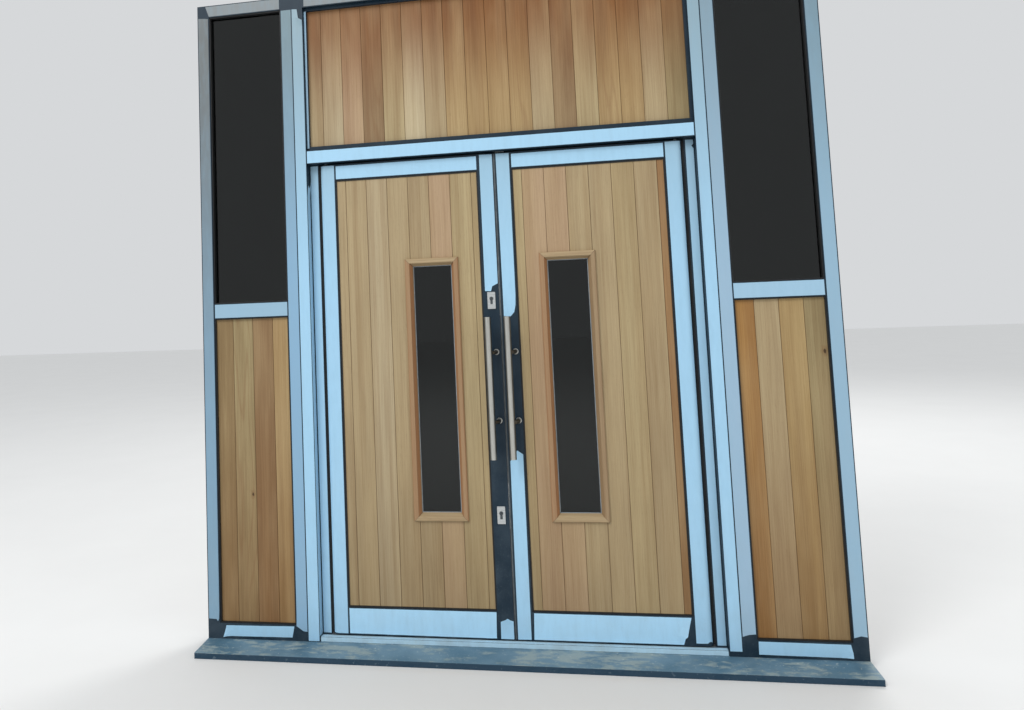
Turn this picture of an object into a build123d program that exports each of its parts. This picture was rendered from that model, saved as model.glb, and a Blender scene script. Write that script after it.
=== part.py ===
"""Aluminium entrance screen: a pair of timber-clad door leaves with narrow glazed vision panels,
two glazed side screens with timber panels below, a timber panel over the doors and a wide sill.

The outside faces -Y, X runs along the front and Z is up. All sizes are in millimetres. X distances
are measured from the centre line, so that the left and right halves come from the same values, and
depths from the outer face of the frame. Each piece is moved by the same small step in depth when it
is written, so that the origin is on the ground under the middle of the whole screen.
"""

import os

from build123d import *

# Overall frame
frame_height = 2965.0
frame_depth = 100.0
wall = 2.2
lip_thick = 4.0
lip = 20.0

# Sill: a hollow bed under the frame and a projecting nose with a front leg
sill_bed = 30.0
sill_projection = 145.0
sill_nose_height = 25.0
sill_plate = 3.5
sill_flat = 12.0

# Side screens
side_screen_width = 479.0
outer_jamb_face = 58.0
inner_jamb_face = 58.0
side_head_face = 58.0
side_bottom_face = 68.0
mid_rail_face = 69.0
mid_rail_bottom = 1482.0

# Posts between the side screens and the doors
mullion_width = 51.0

# Transom and the head over the panel
transom_tube = 63.0
transom_wall = 2.5
over_head_face = 58.0

# Door frame jambs and threshold
door_jamb_width = 44.0
jamb_gap = 10.0
door_jamb_front = 45.0
threshold_height = 20.0
threshold_front = 5.0
stop_thick = 6.0
stop_gap = 1.0
stop_overlap = 12.0

# Door leaves
leaf_width = 812.0
leaf_height = 2122.0
leaf_thick = 50.0
leaf_front = 26.0
meeting_gap = 8.0
threshold_gap = 6.0
hinge_stile_face = 75.0
meeting_stile_face = 71.0
top_rail_face = 73.0
bottom_rail_face = 118.0
pivot_inset = 25.0

# Infill panels: boards on a core, held by gaskets behind the lips
gasket = 3.0
side_board_front = 14.0
side_glass_front = 24.0
side_glass_thick = 24.0
over_board_front = 34.0
over_bead_front = 18.0
over_bead = 13.0
over_bead_bottom = 19.5
over_edge = 2.0
gasket_show = 5.5
leaf_gasket_show = 7.0
leaf_lip_thick = 3.0
gasket_cover = 12.0
infill_cover = 16.0
board_thick = 12.0
board_gap = 0.6
board_chamfer = 1.6
leaf_core_thick = 14.0
fixed_infill = 28.0
bead_depth = 18.0
bead_joint = 0.3
board_pitch = 97.5
first_joint_left_leaf = 108.0
first_joint_right_leaf = 121.0
first_joint_left_side = 1061.0
first_joint_right_side = 1061.0
first_joint_over = -792.0

# Vision panels
vision_centre = 303.0
vision_bottom = 553.0
bead_outer_width = 243.0
bead_outer_height = 1166.0
bead_width = 33.0
bead_on_board = 24.0
mitre_gap = 0.3
pane = 4.0
unit_thick = 20.0
unit_clear = 2.5
spacer_width = 13.0

# Pull handles
pull_bar_x = (-54.0, 30.5)
pull_crank = 27.0
pull_length = 612.0
pull_diameter = 30.0
pull_post_spacing = 300.0
pull_post_diameter = 18.0
pull_post_straight = 34.0
pull_stand_off = 70.0
pull_middle = 1139.0
rose_diameter = 26.0
rose_thick = 4.0

# Locks on the left leaf
lock_backset = 34.0
lock_heights = (590.0, 1525.0)
case_width = 46.0
case_thick = 20.0
case_below = 60.0
case_above = 110.0
faceplate_width = 22.0
faceplate_margin = 15.0
bolt_bottom = 18.0
bolt_height = 28.0
bolt_thick = 12.0
bolt_length = 36.0
bolt_throw = 17.0
bolt_set_back = 0.3
slide_clear = 0.3
cylinder_radius = 8.5
cylinder_web = 10.0
cylinder_drop = 24.5
plug_radius = 6.6
run_clear = 0.05
cam_width = 9.0
cam_radius = 12.0
cylinder_proud = 2.0
turn_length = 22.0
turn_height = 34.0
turn_width = 9.0
key_slot = (2.2, 8.5, 10.0)
plate_width = 35.0
plate_height = 75.0
plate_thick = 4.0

# Pivots, closers and flush bolts
spindle_radius = 8.0
shoe_length = 95.0
shoe_end = 14.0
shoe_width = 26.0
shoe_thick = 14.0
spindle_rise = 42.0
closer_length = 190.0
closer_width = 40.0
closer_height = 40.0
closer_past_axis = 40.0
pivot_plate = 2.5
pivot_pin_rise = 14.0
washer_radius = 12.5
rod_radius = 6.0
rod_length = 190.0
rod_inset = 26.0
rod_throw = 18.0
rod_set_back = 2.0
knob_from_end = 150.0
knob_radius = 7.0
knob_reach = 14.0
keep_plate = 1.5
keep_size = (40.0, 24.0)
guide_thick = 12.0

# Seals
brush_width = 6.0
brush_clear = 0.4
meeting_seal = 5.9

# Fixing holes through the outer jambs
fixing_radius = 4.0
fixing_access_radius = 7.0
fixing_count = 4
fixing_spacing = 800.0
first_fixing = 270.0

# Heights and depths that follow from the sizes above
frame_bottom = sill_bed
frame_top = frame_bottom + frame_height
threshold_top = frame_bottom + threshold_height
leaf_bottom = threshold_top + threshold_gap
leaf_top = leaf_bottom + leaf_height
transom_gap = 8.0
transom_bottom = leaf_top + transom_gap
transom_top = transom_bottom + transom_tube
leaf_inner_x = meeting_gap / 2
leaf_outer_x = leaf_inner_x + leaf_width
jamb_face_x = leaf_outer_x + jamb_gap
mullion_inner = jamb_face_x + door_jamb_width
mullion_outer = mullion_inner + mullion_width
half_width = mullion_outer + side_screen_width
frame_width = 2 * half_width
pivot_x = leaf_outer_x - pivot_inset
leaf_back = leaf_front + leaf_thick
leaf_mid = leaf_front + leaf_thick / 2
stop_front = leaf_back + stop_gap
stop_reach = jamb_face_x
leaf_board_front = leaf_front + leaf_lip_thick + gasket
leaf_board_back = leaf_back - leaf_lip_thick - gasket
leaf_core_front = leaf_board_front + board_thick
leaf_core_back = leaf_core_front + leaf_core_thick
unit_back = leaf_board_back
unit_front = unit_back - unit_thick
vision_middle = vision_bottom + bead_outer_height / 2
over_head_bottom = frame_top - over_head_face
rear_reach = leaf_back + pull_stand_off + pull_diameter / 2
depth_shift = (sill_projection - rear_reach) / 2

os.makedirs("parts", exist_ok=True)
sides = (("left", -1), ("right", 1))


def keep(made, label):
    """Move a finished piece so that the screen is centred in depth, name it and write its file."""
    placed = made.part.moved(Location((0, depth_shift, 0)))
    placed.label = label
    export_step(placed, f"parts/{label}.step")


def block(a0, a1, b0, b1, mode=Mode.ADD):
    """A rectangle in the current sketch, given by its corners in any order."""
    with Locations(((a0 + a1) / 2, (b0 + b1) / 2)):
        Rectangle(abs(a1 - a0), abs(b1 - b0), mode=mode)


def facing(y):
    """The upright plane at depth y whose sketches are seen from the outside."""
    return Plane.XZ.offset(-y)


def upright(rects, hollows, z0, z1, mode=Mode.ADD):
    """A vertical bar from rectangles in plan."""
    with BuildSketch(Plane.XY.offset(z0)) as outline:
        for rect in rects:
            block(*rect)
        for rect in hollows:
            block(*rect, mode=Mode.SUBTRACT)
    extrude(outline.sketch, amount=z1 - z0, mode=mode)


def level(rects, hollows, x0, x1, mode=Mode.ADD):
    """A bar along X from rectangles given as depth and height."""
    with BuildSketch(Plane.YZ.offset(x0)) as outline:
        for rect in rects:
            block(*rect)
        for rect in hollows:
            block(*rect, mode=Mode.SUBTRACT)
    extrude(outline.sketch, amount=x1 - x0, mode=mode)


def plate(x0, x1, z0, z1, y0, y1, mode=Mode.ADD):
    """A flat piece seen from the front."""
    with BuildSketch(facing(y1)) as outline:
        block(x0, x1, z0, z1)
    extrude(outline.sketch, amount=y1 - y0, mode=mode)


def ring(x0, x1, z0, z1, width_x, width_z, y0, y1):
    """A closed rectangular ring seen from the front, such as a gasket or a spacer bar."""
    with BuildSketch(facing(y1)) as outline:
        block(x0, x1, z0, z1)
        block(min(x0, x1) + width_x, max(x0, x1) - width_x, z0 + width_z, z1 - width_z, mode=Mode.SUBTRACT)
    extrude(outline.sketch, amount=y1 - y0)


def round_along_y(x, z, radius, y0, y1, mode=Mode.ADD):
    """A cylinder along Y."""
    with BuildSketch(facing(y1)) as outline:
        with Locations((x, z)):
            Circle(radius)
    extrude(outline.sketch, amount=y1 - y0, mode=mode)


def round_between(start, end, radius):
    """A round bar from one point to another."""
    run = Vector(*end) - Vector(*start)
    with BuildSketch(Plane(origin=start, z_dir=run)) as outline:
        Circle(radius)
    extrude(outline.sketch, amount=run.length)


def round_along_z(x, y, radius, z0, z1, mode=Mode.ADD):
    """A cylinder along Z."""
    with BuildSketch(Plane.XY.offset(z0)) as outline:
        with Locations((x, y)):
            Circle(radius)
    extrude(outline.sketch, amount=z1 - z0, mode=mode)


def row_of_boards(edges, front, back, z0, z1):
    """Upright boards between the given edges, with small chamfers along the seen face."""
    inward = board_chamfer if back > front else -board_chamfer
    with BuildSketch(Plane.XY.offset(z0)) as outline:
        for left, right in zip(edges, edges[1:]):
            a = left + board_gap / 2
            b = right - board_gap / 2
            with BuildLine():
                Polyline(
                    (a, back), (a, front + inward), (a + board_chamfer, front),
                    (b - board_chamfer, front), (b, front + inward), (b, back), close=True,
                )
            make_face()
    extrude(outline.sketch, amount=z1 - z0)


def bead_outline(x, z, half_w, half_h, place, outer, inner):
    """The mitred outline of one bead of a frame, seen from the front, between two offsets."""
    w0, w1 = half_w - outer, half_w - inner
    h0, h1 = half_h - outer, half_h - inner
    m = mitre_gap
    corners = {
        "top": ((m - w0, h0), (w0 - m, h0), (w1 - m, h1), (m - w1, h1)),
        "bottom": ((m - w0, -h0), (m - w1, -h1), (w1 - m, -h1), (w0 - m, -h0)),
        "right": ((w0, h0), (w0, -h0), (w1, -h1), (w1, h1)),
        "left": ((-w0, h0), (-w1, h1), (-w1, -h1), (-w0, -h0)),
    }[place]
    return [(x + a, z + b) for a, b in corners]


def bead_frame(x, z, half_w, half_h, stations):
    """Four mitred beads from their depth stations, each a depth with an outer and an inner offset."""
    for place in ("top", "bottom", "right", "left"):
        for low, high in zip(stations, stations[1:]):
            if low[0] == high[0]:
                continue
            sections = []
            for depth, outer, inner in (low, high):
                with BuildSketch(facing(depth)) as outline:
                    with BuildLine():
                        Polyline(*bead_outline(x, z, half_w, half_h, place, outer, inner), close=True)
                    make_face()
                sections.append(outline.sketch)
            loft(sections)


def board_edges(x0, x1, first, pitch):
    """The ends of a run of boards and its joints, which start at first and repeat each way."""
    low, high = min(x0, x1), max(x0, x1)
    joint = first
    while joint - pitch > low:
        joint -= pitch
    joints = []
    while joint < high - 2 * board_chamfer:
        if joint > low + 2 * board_chamfer:
            joints.append(joint)
        joint += pitch
    return [low] + joints + [high]


# Sill
with BuildPart() as sill:
    with BuildSketch(Plane.YZ.offset(-half_width)):
        with BuildLine():
            Polyline(
                (frame_depth, 0), (frame_depth, sill_bed), (-sill_flat, sill_bed),
                (-sill_projection, sill_nose_height), (-sill_projection, 0),
                (-sill_projection + sill_plate, 0),
                (-sill_projection + sill_plate, sill_nose_height - sill_plate),
                (-sill_flat, sill_bed - sill_plate), (0, sill_bed - sill_plate), (0, 0), close=True,
            )
        make_face()
        block(wall, frame_depth - wall, wall, sill_bed - wall, mode=Mode.SUBTRACT)
    extrude(amount=frame_width)
keep(sill, "sill")

# Threshold with the upstand that the leaves close against
with BuildPart() as threshold:
    level(
        [(threshold_front, frame_depth, frame_bottom, threshold_top)],
        [(threshold_front + wall, frame_depth - wall, frame_bottom + wall, threshold_top - wall)],
        -mullion_inner, mullion_inner,
    )
    level(
        [(stop_front, stop_front + stop_thick, threshold_top, leaf_bottom + stop_overlap)],
        [], -stop_reach, stop_reach,
    )
    round_along_z(
        rod_inset, leaf_mid, rod_radius + 1, threshold_top - 2 * wall, threshold_top + wall,
        mode=Mode.SUBTRACT,
    )
keep(threshold, "threshold")

# Side screens
glass_edge_outer = half_width - outer_jamb_face
glass_edge_inner = mullion_outer + inner_jamb_face
mid_rail_top = mid_rail_bottom + mid_rail_face
side_bottom_top = frame_bottom + side_bottom_face
side_head_bottom = frame_top - side_head_face
outer_tube_x = glass_edge_outer + lip
inner_tube_x = glass_edge_inner - lip

for name, side in sides:
    with BuildPart() as outer_jamb:
        upright(
            [
                (side * outer_tube_x, side * half_width, 0, frame_depth),
                (side * glass_edge_outer, side * outer_tube_x, 0, lip_thick),
            ],
            [(side * (outer_tube_x + wall), side * (half_width - wall), wall, frame_depth - wall)],
            frame_bottom, frame_top,
        )
        for step in range(fixing_count):
            height = first_fixing + step * fixing_spacing
            with BuildSketch(Plane.YZ.offset(side * (half_width - wall / 2))):
                with Locations((frame_depth / 2, height)):
                    Circle(fixing_radius)
            extrude(amount=wall, both=True, mode=Mode.SUBTRACT)
            with BuildSketch(Plane.YZ.offset(side * (outer_tube_x + wall / 2))):
                with Locations((frame_depth / 2, height)):
                    Circle(fixing_access_radius)
            extrude(amount=wall, both=True, mode=Mode.SUBTRACT)
    keep(outer_jamb, f"{name}_outer_jamb")

    with BuildPart() as inner_jamb:
        upright(
            [
                (side * mullion_outer, side * inner_tube_x, 0, frame_depth),
                (side * inner_tube_x, side * glass_edge_inner, 0, lip_thick),
            ],
            [(side * (mullion_outer + wall), side * (inner_tube_x - wall), wall, frame_depth - wall)],
            frame_bottom, frame_top,
        )
    keep(inner_jamb, f"{name}_inner_jamb")

# Rails of the side screens, coped over the lips of the jambs
with BuildPart() as side_rails:
    for name, side in sides:
        ends = sorted((side * inner_tube_x, side * outer_tube_x))
        rails = (
            (frame_bottom, side_bottom_top, frame_bottom, side_bottom_top - lip),
            (mid_rail_bottom, mid_rail_top, mid_rail_bottom + lip, mid_rail_top - lip),
            (side_head_bottom, frame_top, side_head_bottom + lip, frame_top),
        )
        for face_low, face_high, tube_low, tube_high in rails:
            level(
                [(0, frame_depth, tube_low, tube_high), (0, lip_thick, face_low, face_high)],
                [(wall, frame_depth - wall, tube_low + wall, tube_high - wall)],
                *ends,
            )
    for name, side in sides:
        for lip_edges in ((inner_tube_x, glass_edge_inner), (glass_edge_outer, outer_tube_x)):
            upright(
                [(side * lip_edges[0], side * lip_edges[1], 0, lip_thick)], [],
                frame_bottom, frame_top, mode=Mode.SUBTRACT,
            )
keep(side_rails, "side_rails")

# Mullions
for name, side in sides:
    with BuildPart() as mullion:
        upright(
            [(side * mullion_inner, side * mullion_outer, 0, frame_depth)],
            [(side * (mullion_inner + wall), side * (mullion_outer - wall), wall, frame_depth - wall)],
            frame_bottom, frame_top,
        )
    keep(mullion, f"{name}_mullion")

# Transom, with the door stop below it
with BuildPart() as transom:
    level(
        [(0, frame_depth, transom_bottom, transom_top)],
        [(
            transom_wall, frame_depth - transom_wall,
            transom_bottom + transom_wall, transom_top - transom_wall,
        )],
        -mullion_inner, mullion_inner,
    )
    level(
        [(stop_front, stop_front + stop_thick, leaf_top - stop_overlap, transom_bottom)],
        [], -stop_reach, stop_reach,
    )
    for side in (-1, 1):
        round_along_z(
            side * pivot_x, leaf_mid, spindle_radius + 1,
            transom_bottom - wall, transom_bottom + 2 * transom_wall, mode=Mode.SUBTRACT,
        )
    round_along_z(
        rod_inset, leaf_mid, rod_radius + 1,
        transom_bottom - wall, transom_bottom + 2 * transom_wall, mode=Mode.SUBTRACT,
    )
keep(transom, "transom")

# Head over the panel
with BuildPart() as over_head:
    level(
        [(0, frame_depth, over_head_bottom, frame_top)],
        [(wall, frame_depth - wall, over_head_bottom + wall, frame_top - wall)],
        -mullion_inner, mullion_inner,
    )
keep(over_head, "over_head")

# Jambs of the door frame, standing on the threshold
with BuildPart() as door_jambs:
    for name, side in sides:
        upright(
            [(side * jamb_face_x, side * mullion_inner, door_jamb_front, frame_depth)],
            [(
                side * (jamb_face_x + wall), side * (mullion_inner - wall),
                door_jamb_front + wall, frame_depth - wall,
            )],
            threshold_top, transom_bottom,
        )
keep(door_jambs, "door_jambs")

# Fixed infills: the sight openings of the side screens and of the panel over the doors
side_openings = []
for name, side in sides:
    side_openings.append((name, side * glass_edge_inner, side * glass_edge_outer))
upper_low, upper_high = mid_rail_top, side_head_bottom
lower_low, lower_high = side_bottom_top, mid_rail_bottom
side_glass_back = side_glass_front + side_glass_thick
side_panel_back = side_board_front + fixed_infill
over_panel_back = over_board_front + fixed_infill
over_infill_x = mullion_inner - over_edge
over_infill_z = (transom_top + over_edge, over_head_bottom - over_edge)
openings = (
    (upper_low, upper_high, side_glass_front, side_glass_back),
    (lower_low, lower_high, side_board_front, side_panel_back),
)


def grown(x0, x1, by):
    """A span made longer at both ends."""
    return min(x0, x1) - by, max(x0, x1) + by


with BuildPart() as side_panes:
    for name, x0, x1 in side_openings:
        wide = grown(x0, x1, infill_cover)
        for y0 in (side_glass_front, side_glass_back - pane):
            plate(*wide, upper_low - infill_cover, upper_high + infill_cover, y0, y0 + pane)
keep(side_panes, "side_panes")

with BuildPart() as side_spacers:
    spacer = infill_cover + 4.0
    for name, x0, x1 in side_openings:
        ring(
            *grown(x0, x1, infill_cover), upper_low - infill_cover, upper_high + infill_cover,
            spacer, spacer, side_glass_front + pane, side_glass_back - pane,
        )
keep(side_spacers, "side_spacers")

with BuildPart() as lower_boards:
    for (name, x0, x1), first in zip(side_openings, (-first_joint_left_side, first_joint_right_side)):
        edges = board_edges(*grown(x0, x1, infill_cover), first, board_pitch)
        row_of_boards(
            edges, side_board_front, side_board_front + board_thick,
            lower_low - infill_cover, lower_high + infill_cover,
        )
keep(lower_boards, "lower_boards")

with BuildPart() as over_boards:
    edges = board_edges(-over_infill_x, over_infill_x, first_joint_over, board_pitch)
    row_of_boards(edges, over_board_front, over_board_front + board_thick, *over_infill_z)
keep(over_boards, "over_boards")

with BuildPart() as panel_cores:
    for name, x0, x1 in side_openings:
        plate(
            *grown(x0, x1, infill_cover), lower_low - infill_cover, lower_high + infill_cover,
            side_board_front + board_thick, side_panel_back,
        )
    plate(-over_infill_x, over_infill_x, *over_infill_z, over_board_front + board_thick, over_panel_back)
keep(panel_cores, "panel_cores")

with BuildPart() as fixed_gaskets:
    for low, high, front, back in openings:
        for y0, y1 in ((lip_thick, front), (back, back + gasket)):
            for name, x0, x1 in side_openings:
                ring(
                    *grown(x0, x1, gasket_cover), low - gasket_cover, high + gasket_cover,
                    gasket_cover + gasket_show, gasket_cover + gasket_show, y0, y1,
                )
keep(fixed_gaskets, "fixed_gaskets")

with BuildPart() as inner_beads:
    for low, high, front, back in openings:
        bead_y = (back + gasket, back + gasket + bead_depth)
        for name, x0, x1 in side_openings:
            left, right = grown(x0, x1, lip)
            for z0 in (low - lip, high):
                plate(left, right, z0, z0 + lip, *bead_y)
            for bead_x in (left, right - lip):
                plate(bead_x, bead_x + lip, low + bead_joint, high - bead_joint, *bead_y)
keep(inner_beads, "inner_beads")

# Beads around the panel over the doors, in front of it and behind it
over_sight = (transom_top + over_bead_bottom, over_head_bottom - over_bead)
with BuildPart() as over_beads:
    for y0, y1 in ((over_bead_front, over_board_front), (over_panel_back, over_panel_back + bead_depth)):
        plate(-mullion_inner, mullion_inner, transom_top, over_sight[0], y0, y1)
        plate(-mullion_inner, mullion_inner, over_sight[1], over_head_bottom, y0, y1)
        for side in (-1, 1):
            plate(
                side * (mullion_inner - over_bead), side * mullion_inner,
                over_sight[0] + bead_joint, over_sight[1] - bead_joint, y0, y1,
            )
keep(over_beads, "over_beads")

# Fittings carried by the frame
with BuildPart() as transom_closers:
    for name, side in sides:
        far_end = pivot_x + closer_past_axis
        floor_z = transom_bottom + transom_wall
        upright(
            [(
                side * (far_end - closer_length), side * far_end,
                leaf_mid - closer_width / 2, leaf_mid + closer_width / 2,
            )],
            [], floor_z, floor_z + closer_height,
        )
        round_along_z(
            side * pivot_x, leaf_mid, spindle_radius + run_clear, floor_z, leaf_top + spindle_rise + 2,
            mode=Mode.SUBTRACT,
        )
keep(transom_closers, "transom_closers")

with BuildPart() as floor_pivots:
    for name, side in sides:
        upright(
            [(
                side * (pivot_x - shoe_length / 3), side * (pivot_x + shoe_length / 3),
                leaf_mid - shoe_width / 2, leaf_mid + shoe_width / 2,
            )],
            [], threshold_top, threshold_top + pivot_plate,
        )
        round_along_z(
            side * pivot_x, leaf_mid, washer_radius, threshold_top + pivot_plate, leaf_bottom - run_clear,
        )
        round_along_z(side * pivot_x, leaf_mid, spindle_radius, threshold_top, threshold_top + pivot_pin_rise)
keep(floor_pivots, "floor_pivots")

with BuildPart() as bolt_keeps:
    for z0 in (threshold_top, transom_bottom - keep_plate):
        with BuildSketch(Plane.XY.offset(z0)):
            with Locations((rod_inset, leaf_mid)):
                Rectangle(*keep_size)
                Circle(rod_radius + 0.5, mode=Mode.SUBTRACT)
        extrude(amount=keep_plate)
keep(bolt_keeps, "bolt_keeps")

# Door leaves
sight_inner = leaf_inner_x + meeting_stile_face
sight_outer = leaf_outer_x - hinge_stile_face
stile_tube_inner = sight_inner - lip
stile_tube_outer = sight_outer + lip
sight_low = leaf_bottom + bottom_rail_face
sight_high = leaf_top - top_rail_face
lip_bands = ((leaf_front, leaf_front + leaf_lip_thick), (leaf_back - leaf_lip_thick, leaf_back))
shoe_out = pivot_x + shoe_end
shoe_in = shoe_out - shoe_length


def cut_shoe_pockets(side):
    """Room for the pivot shoes in the top and the bottom of a leaf."""
    for z0 in (leaf_bottom, leaf_top - shoe_thick):
        upright(
            [(side * shoe_in, side * shoe_out, leaf_mid - shoe_width / 2, leaf_mid + shoe_width / 2)],
            [], z0, z0 + shoe_thick, mode=Mode.SUBTRACT,
        )


def cut_edge_plates(side):
    """Room in the meeting edge for the faceplates of the locks, or for their strikes."""
    for height in lock_heights:
        upright(
            [(
                side * leaf_inner_x, side * (leaf_inner_x + wall),
                leaf_mid - faceplate_width / 2, leaf_mid + faceplate_width / 2,
            )],
            [], height - case_below - faceplate_margin, height + case_above + faceplate_margin,
            mode=Mode.SUBTRACT,
        )


def euro_shape(height, radius, web, drop):
    """The keyhole-shaped outline of a profile cylinder, in the current sketch."""
    with Locations((-lock_x, height)):
        Circle(radius)
    block(-lock_x - web / 2, -lock_x + web / 2, height - drop, height)


lock_x = leaf_inner_x + lock_backset
fit_web = cylinder_web + 2 * slide_clear
fit_drop = cylinder_drop + slide_clear
knob_heights = (leaf_bottom + knob_from_end, leaf_top - knob_from_end)

# Depth, outer offset and inner offset along the beads of the vision panels
outer_bead_stations = (
    (leaf_board_front - 12, 4, 20),
    (leaf_board_front - 8, 0, 22),
    (leaf_board_front, 0, 26),
    (leaf_board_front, bead_on_board, 26),
    (unit_front - 4, bead_on_board, bead_width),
    (unit_front, bead_on_board, bead_width),
)
inner_bead_stations = (
    (leaf_board_back, 0, bead_width),
    (leaf_board_back + 3, 0, bead_width),
    (leaf_board_back + 9, 0, 23),
    (leaf_board_back + 12, 4, 20),
)

for name, side in sides:
    with BuildPart() as hinge_stile:
        with BuildSketch(Plane.XY.offset(leaf_bottom)):
            block(side * stile_tube_outer, side * pivot_x, leaf_front, leaf_back)
            with Locations((side * pivot_x, leaf_mid)):
                Circle(leaf_thick / 2)
            for band in lip_bands:
                block(side * sight_outer, side * stile_tube_outer, *band)
            block(
                side * (stile_tube_outer + wall), side * pivot_x,
                leaf_front + wall, leaf_back - wall, mode=Mode.SUBTRACT,
            )
            with Locations((side * pivot_x, leaf_mid)):
                Circle(leaf_thick / 2 - wall, mode=Mode.SUBTRACT)
        extrude(amount=leaf_height)
        cut_shoe_pockets(side)
    keep(hinge_stile, f"{name}_hinge_stile")

    with BuildPart() as meeting_stile:
        upright(
            [(side * leaf_inner_x, side * stile_tube_inner, leaf_front, leaf_back)]
            + [(side * stile_tube_inner, side * sight_inner, *band) for band in lip_bands],
            [(
                side * (leaf_inner_x + wall), side * (stile_tube_inner - wall),
                leaf_front + wall, leaf_back - wall,
            )],
            leaf_bottom, leaf_top,
        )
        cut_edge_plates(side)
        if side < 0:
            for height in lock_heights:
                with BuildSketch(facing(leaf_back + wall)):
                    euro_shape(height, cylinder_radius + slide_clear, fit_web, fit_drop)
                extrude(amount=leaf_thick + 2 * wall, mode=Mode.SUBTRACT)
        else:
            for height in knob_heights:
                travel = rod_throw if height > vision_middle else -rod_throw
                plate(
                    rod_inset - knob_radius / 2, rod_inset + knob_radius / 2,
                    min(height, height + travel) - knob_radius, max(height, height + travel) + knob_radius,
                    leaf_back - 2 * wall, leaf_back + wall, mode=Mode.SUBTRACT,
                )
    keep(meeting_stile, f"{name}_meeting_stile")

    rail_ends = sorted((side * stile_tube_inner, side * stile_tube_outer))
    rail_sizes = (
        ("top", sight_high, leaf_top, sight_high + lip, leaf_top),
        ("bottom", leaf_bottom, sight_low, leaf_bottom, sight_low - lip),
    )
    for rail_name, face_low, face_high, tube_low, tube_high in rail_sizes:
        with BuildPart() as rail:
            level(
                [(leaf_front, leaf_back, tube_low, tube_high)]
                + [(*band, face_low, face_high) for band in lip_bands],
                [(leaf_front + wall, leaf_back - wall, tube_low + wall, tube_high - wall)],
                *rail_ends,
            )
            for band in lip_bands:
                for stile_lip in ((stile_tube_inner, sight_inner), (sight_outer, stile_tube_outer)):
                    upright(
                        [(side * stile_lip[0], side * stile_lip[1], *band)], [],
                        face_low, face_high, mode=Mode.SUBTRACT,
                    )
            cut_shoe_pockets(side)
        keep(rail, f"{name}_{rail_name}_rail")

    infill_span = grown(side * sight_inner, side * sight_outer, infill_cover)
    cut_inset = bead_on_board
    vision_x = side * vision_centre
    cut_half = bead_outer_width / 2 - cut_inset
    cut_low = vision_bottom + cut_inset
    cut_high = vision_bottom + bead_outer_height - cut_inset

    with BuildPart() as leaf_boards:
        first = -first_joint_left_leaf if side < 0 else first_joint_right_leaf
        edges = board_edges(*infill_span, first, board_pitch)
        low, high = sight_low - infill_cover, sight_high + infill_cover
        row_of_boards(edges, leaf_board_front, leaf_core_front, low, high)
        row_of_boards(edges, leaf_board_back, leaf_core_back, low, high)
        plate(
            vision_x - cut_half, vision_x + cut_half, cut_low, cut_high,
            leaf_board_front - 1, leaf_board_back + 1, mode=Mode.SUBTRACT,
        )
    keep(leaf_boards, f"{name}_leaf_boards")

    with BuildPart() as leaf_core:
        plate(
            *infill_span, sight_low - infill_cover, sight_high + infill_cover,
            leaf_core_front, leaf_core_back,
        )
        plate(
            vision_x - cut_half, vision_x + cut_half, cut_low, cut_high,
            leaf_core_front, leaf_core_back, mode=Mode.SUBTRACT,
        )
    keep(leaf_core, f"{name}_leaf_core")

    with BuildPart() as leaf_gaskets:
        span = grown(side * sight_inner, side * sight_outer, gasket_cover)
        show = gasket_cover + leaf_gasket_show
        for y0 in (leaf_front + leaf_lip_thick, leaf_board_back):
            ring(
                *span, sight_low - gasket_cover, sight_high + gasket_cover, show, show,
                y0, y0 + gasket,
            )
    keep(leaf_gaskets, f"{name}_leaf_gaskets")

    with BuildPart() as vision_beads:
        half_w, half_h = bead_outer_width / 2, bead_outer_height / 2
        for stations in (outer_bead_stations, inner_bead_stations):
            bead_frame(vision_x, vision_middle, half_w, half_h, stations)
    keep(vision_beads, f"{name}_vision_beads")

    unit_half = cut_half - unit_clear
    unit_low, unit_high = cut_low + unit_clear, cut_high - unit_clear
    with BuildPart() as vision_panes:
        for y0 in (unit_front, unit_back - pane):
            plate(vision_x - unit_half, vision_x + unit_half, unit_low, unit_high, y0, y0 + pane)
    keep(vision_panes, f"{name}_vision_panes")

    with BuildPart() as vision_spacer:
        ring(
            vision_x - unit_half, vision_x + unit_half, unit_low, unit_high,
            spacer_width, spacer_width, unit_front + pane, unit_back - pane,
        )
    keep(vision_spacer, f"{name}_vision_spacer")

    with BuildPart() as pull_handles:
        pull_x = pull_bar_x[0] if side < 0 else pull_bar_x[1]
        foot_x = pull_x + pull_crank
        for face, surface in ((-1, leaf_front), (1, leaf_back)):
            bar_y = surface + face * pull_stand_off
            bend_y = surface + face * pull_post_straight
            for post in (-1, 1):
                post_z = pull_middle + post * pull_post_spacing / 2
                round_along_y(foot_x, post_z, rose_diameter / 2, *sorted((surface, surface + face * rose_thick)))
                round_along_y(foot_x, post_z, pull_post_diameter / 2, *sorted((surface, bend_y)))
                with Locations((foot_x, bend_y, post_z)):
                    Sphere(pull_post_diameter / 2)
                round_between((foot_x, bend_y, post_z), (pull_x, bar_y, post_z), pull_post_diameter / 2)
            round_along_z(
                pull_x, bar_y, pull_diameter / 2,
                pull_middle - pull_length / 2, pull_middle + pull_length / 2,
            )
    keep(pull_handles, f"{name}_pull_handles")

    with BuildPart() as pivot_shoes:
        for z0 in (leaf_bottom, leaf_top - shoe_thick):
            upright(
                [(side * shoe_in, side * shoe_out, leaf_mid - shoe_width / 2, leaf_mid + shoe_width / 2)],
                [], z0, z0 + shoe_thick,
            )
        round_along_z(side * pivot_x, leaf_mid, spindle_radius, leaf_top, leaf_top + spindle_rise)
        round_along_z(
            side * pivot_x, leaf_mid, spindle_radius + run_clear,
            leaf_bottom, threshold_top + pivot_pin_rise + 0.5, mode=Mode.SUBTRACT,
        )
    keep(pivot_shoes, f"{name}_pivot_shoes")

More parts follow.
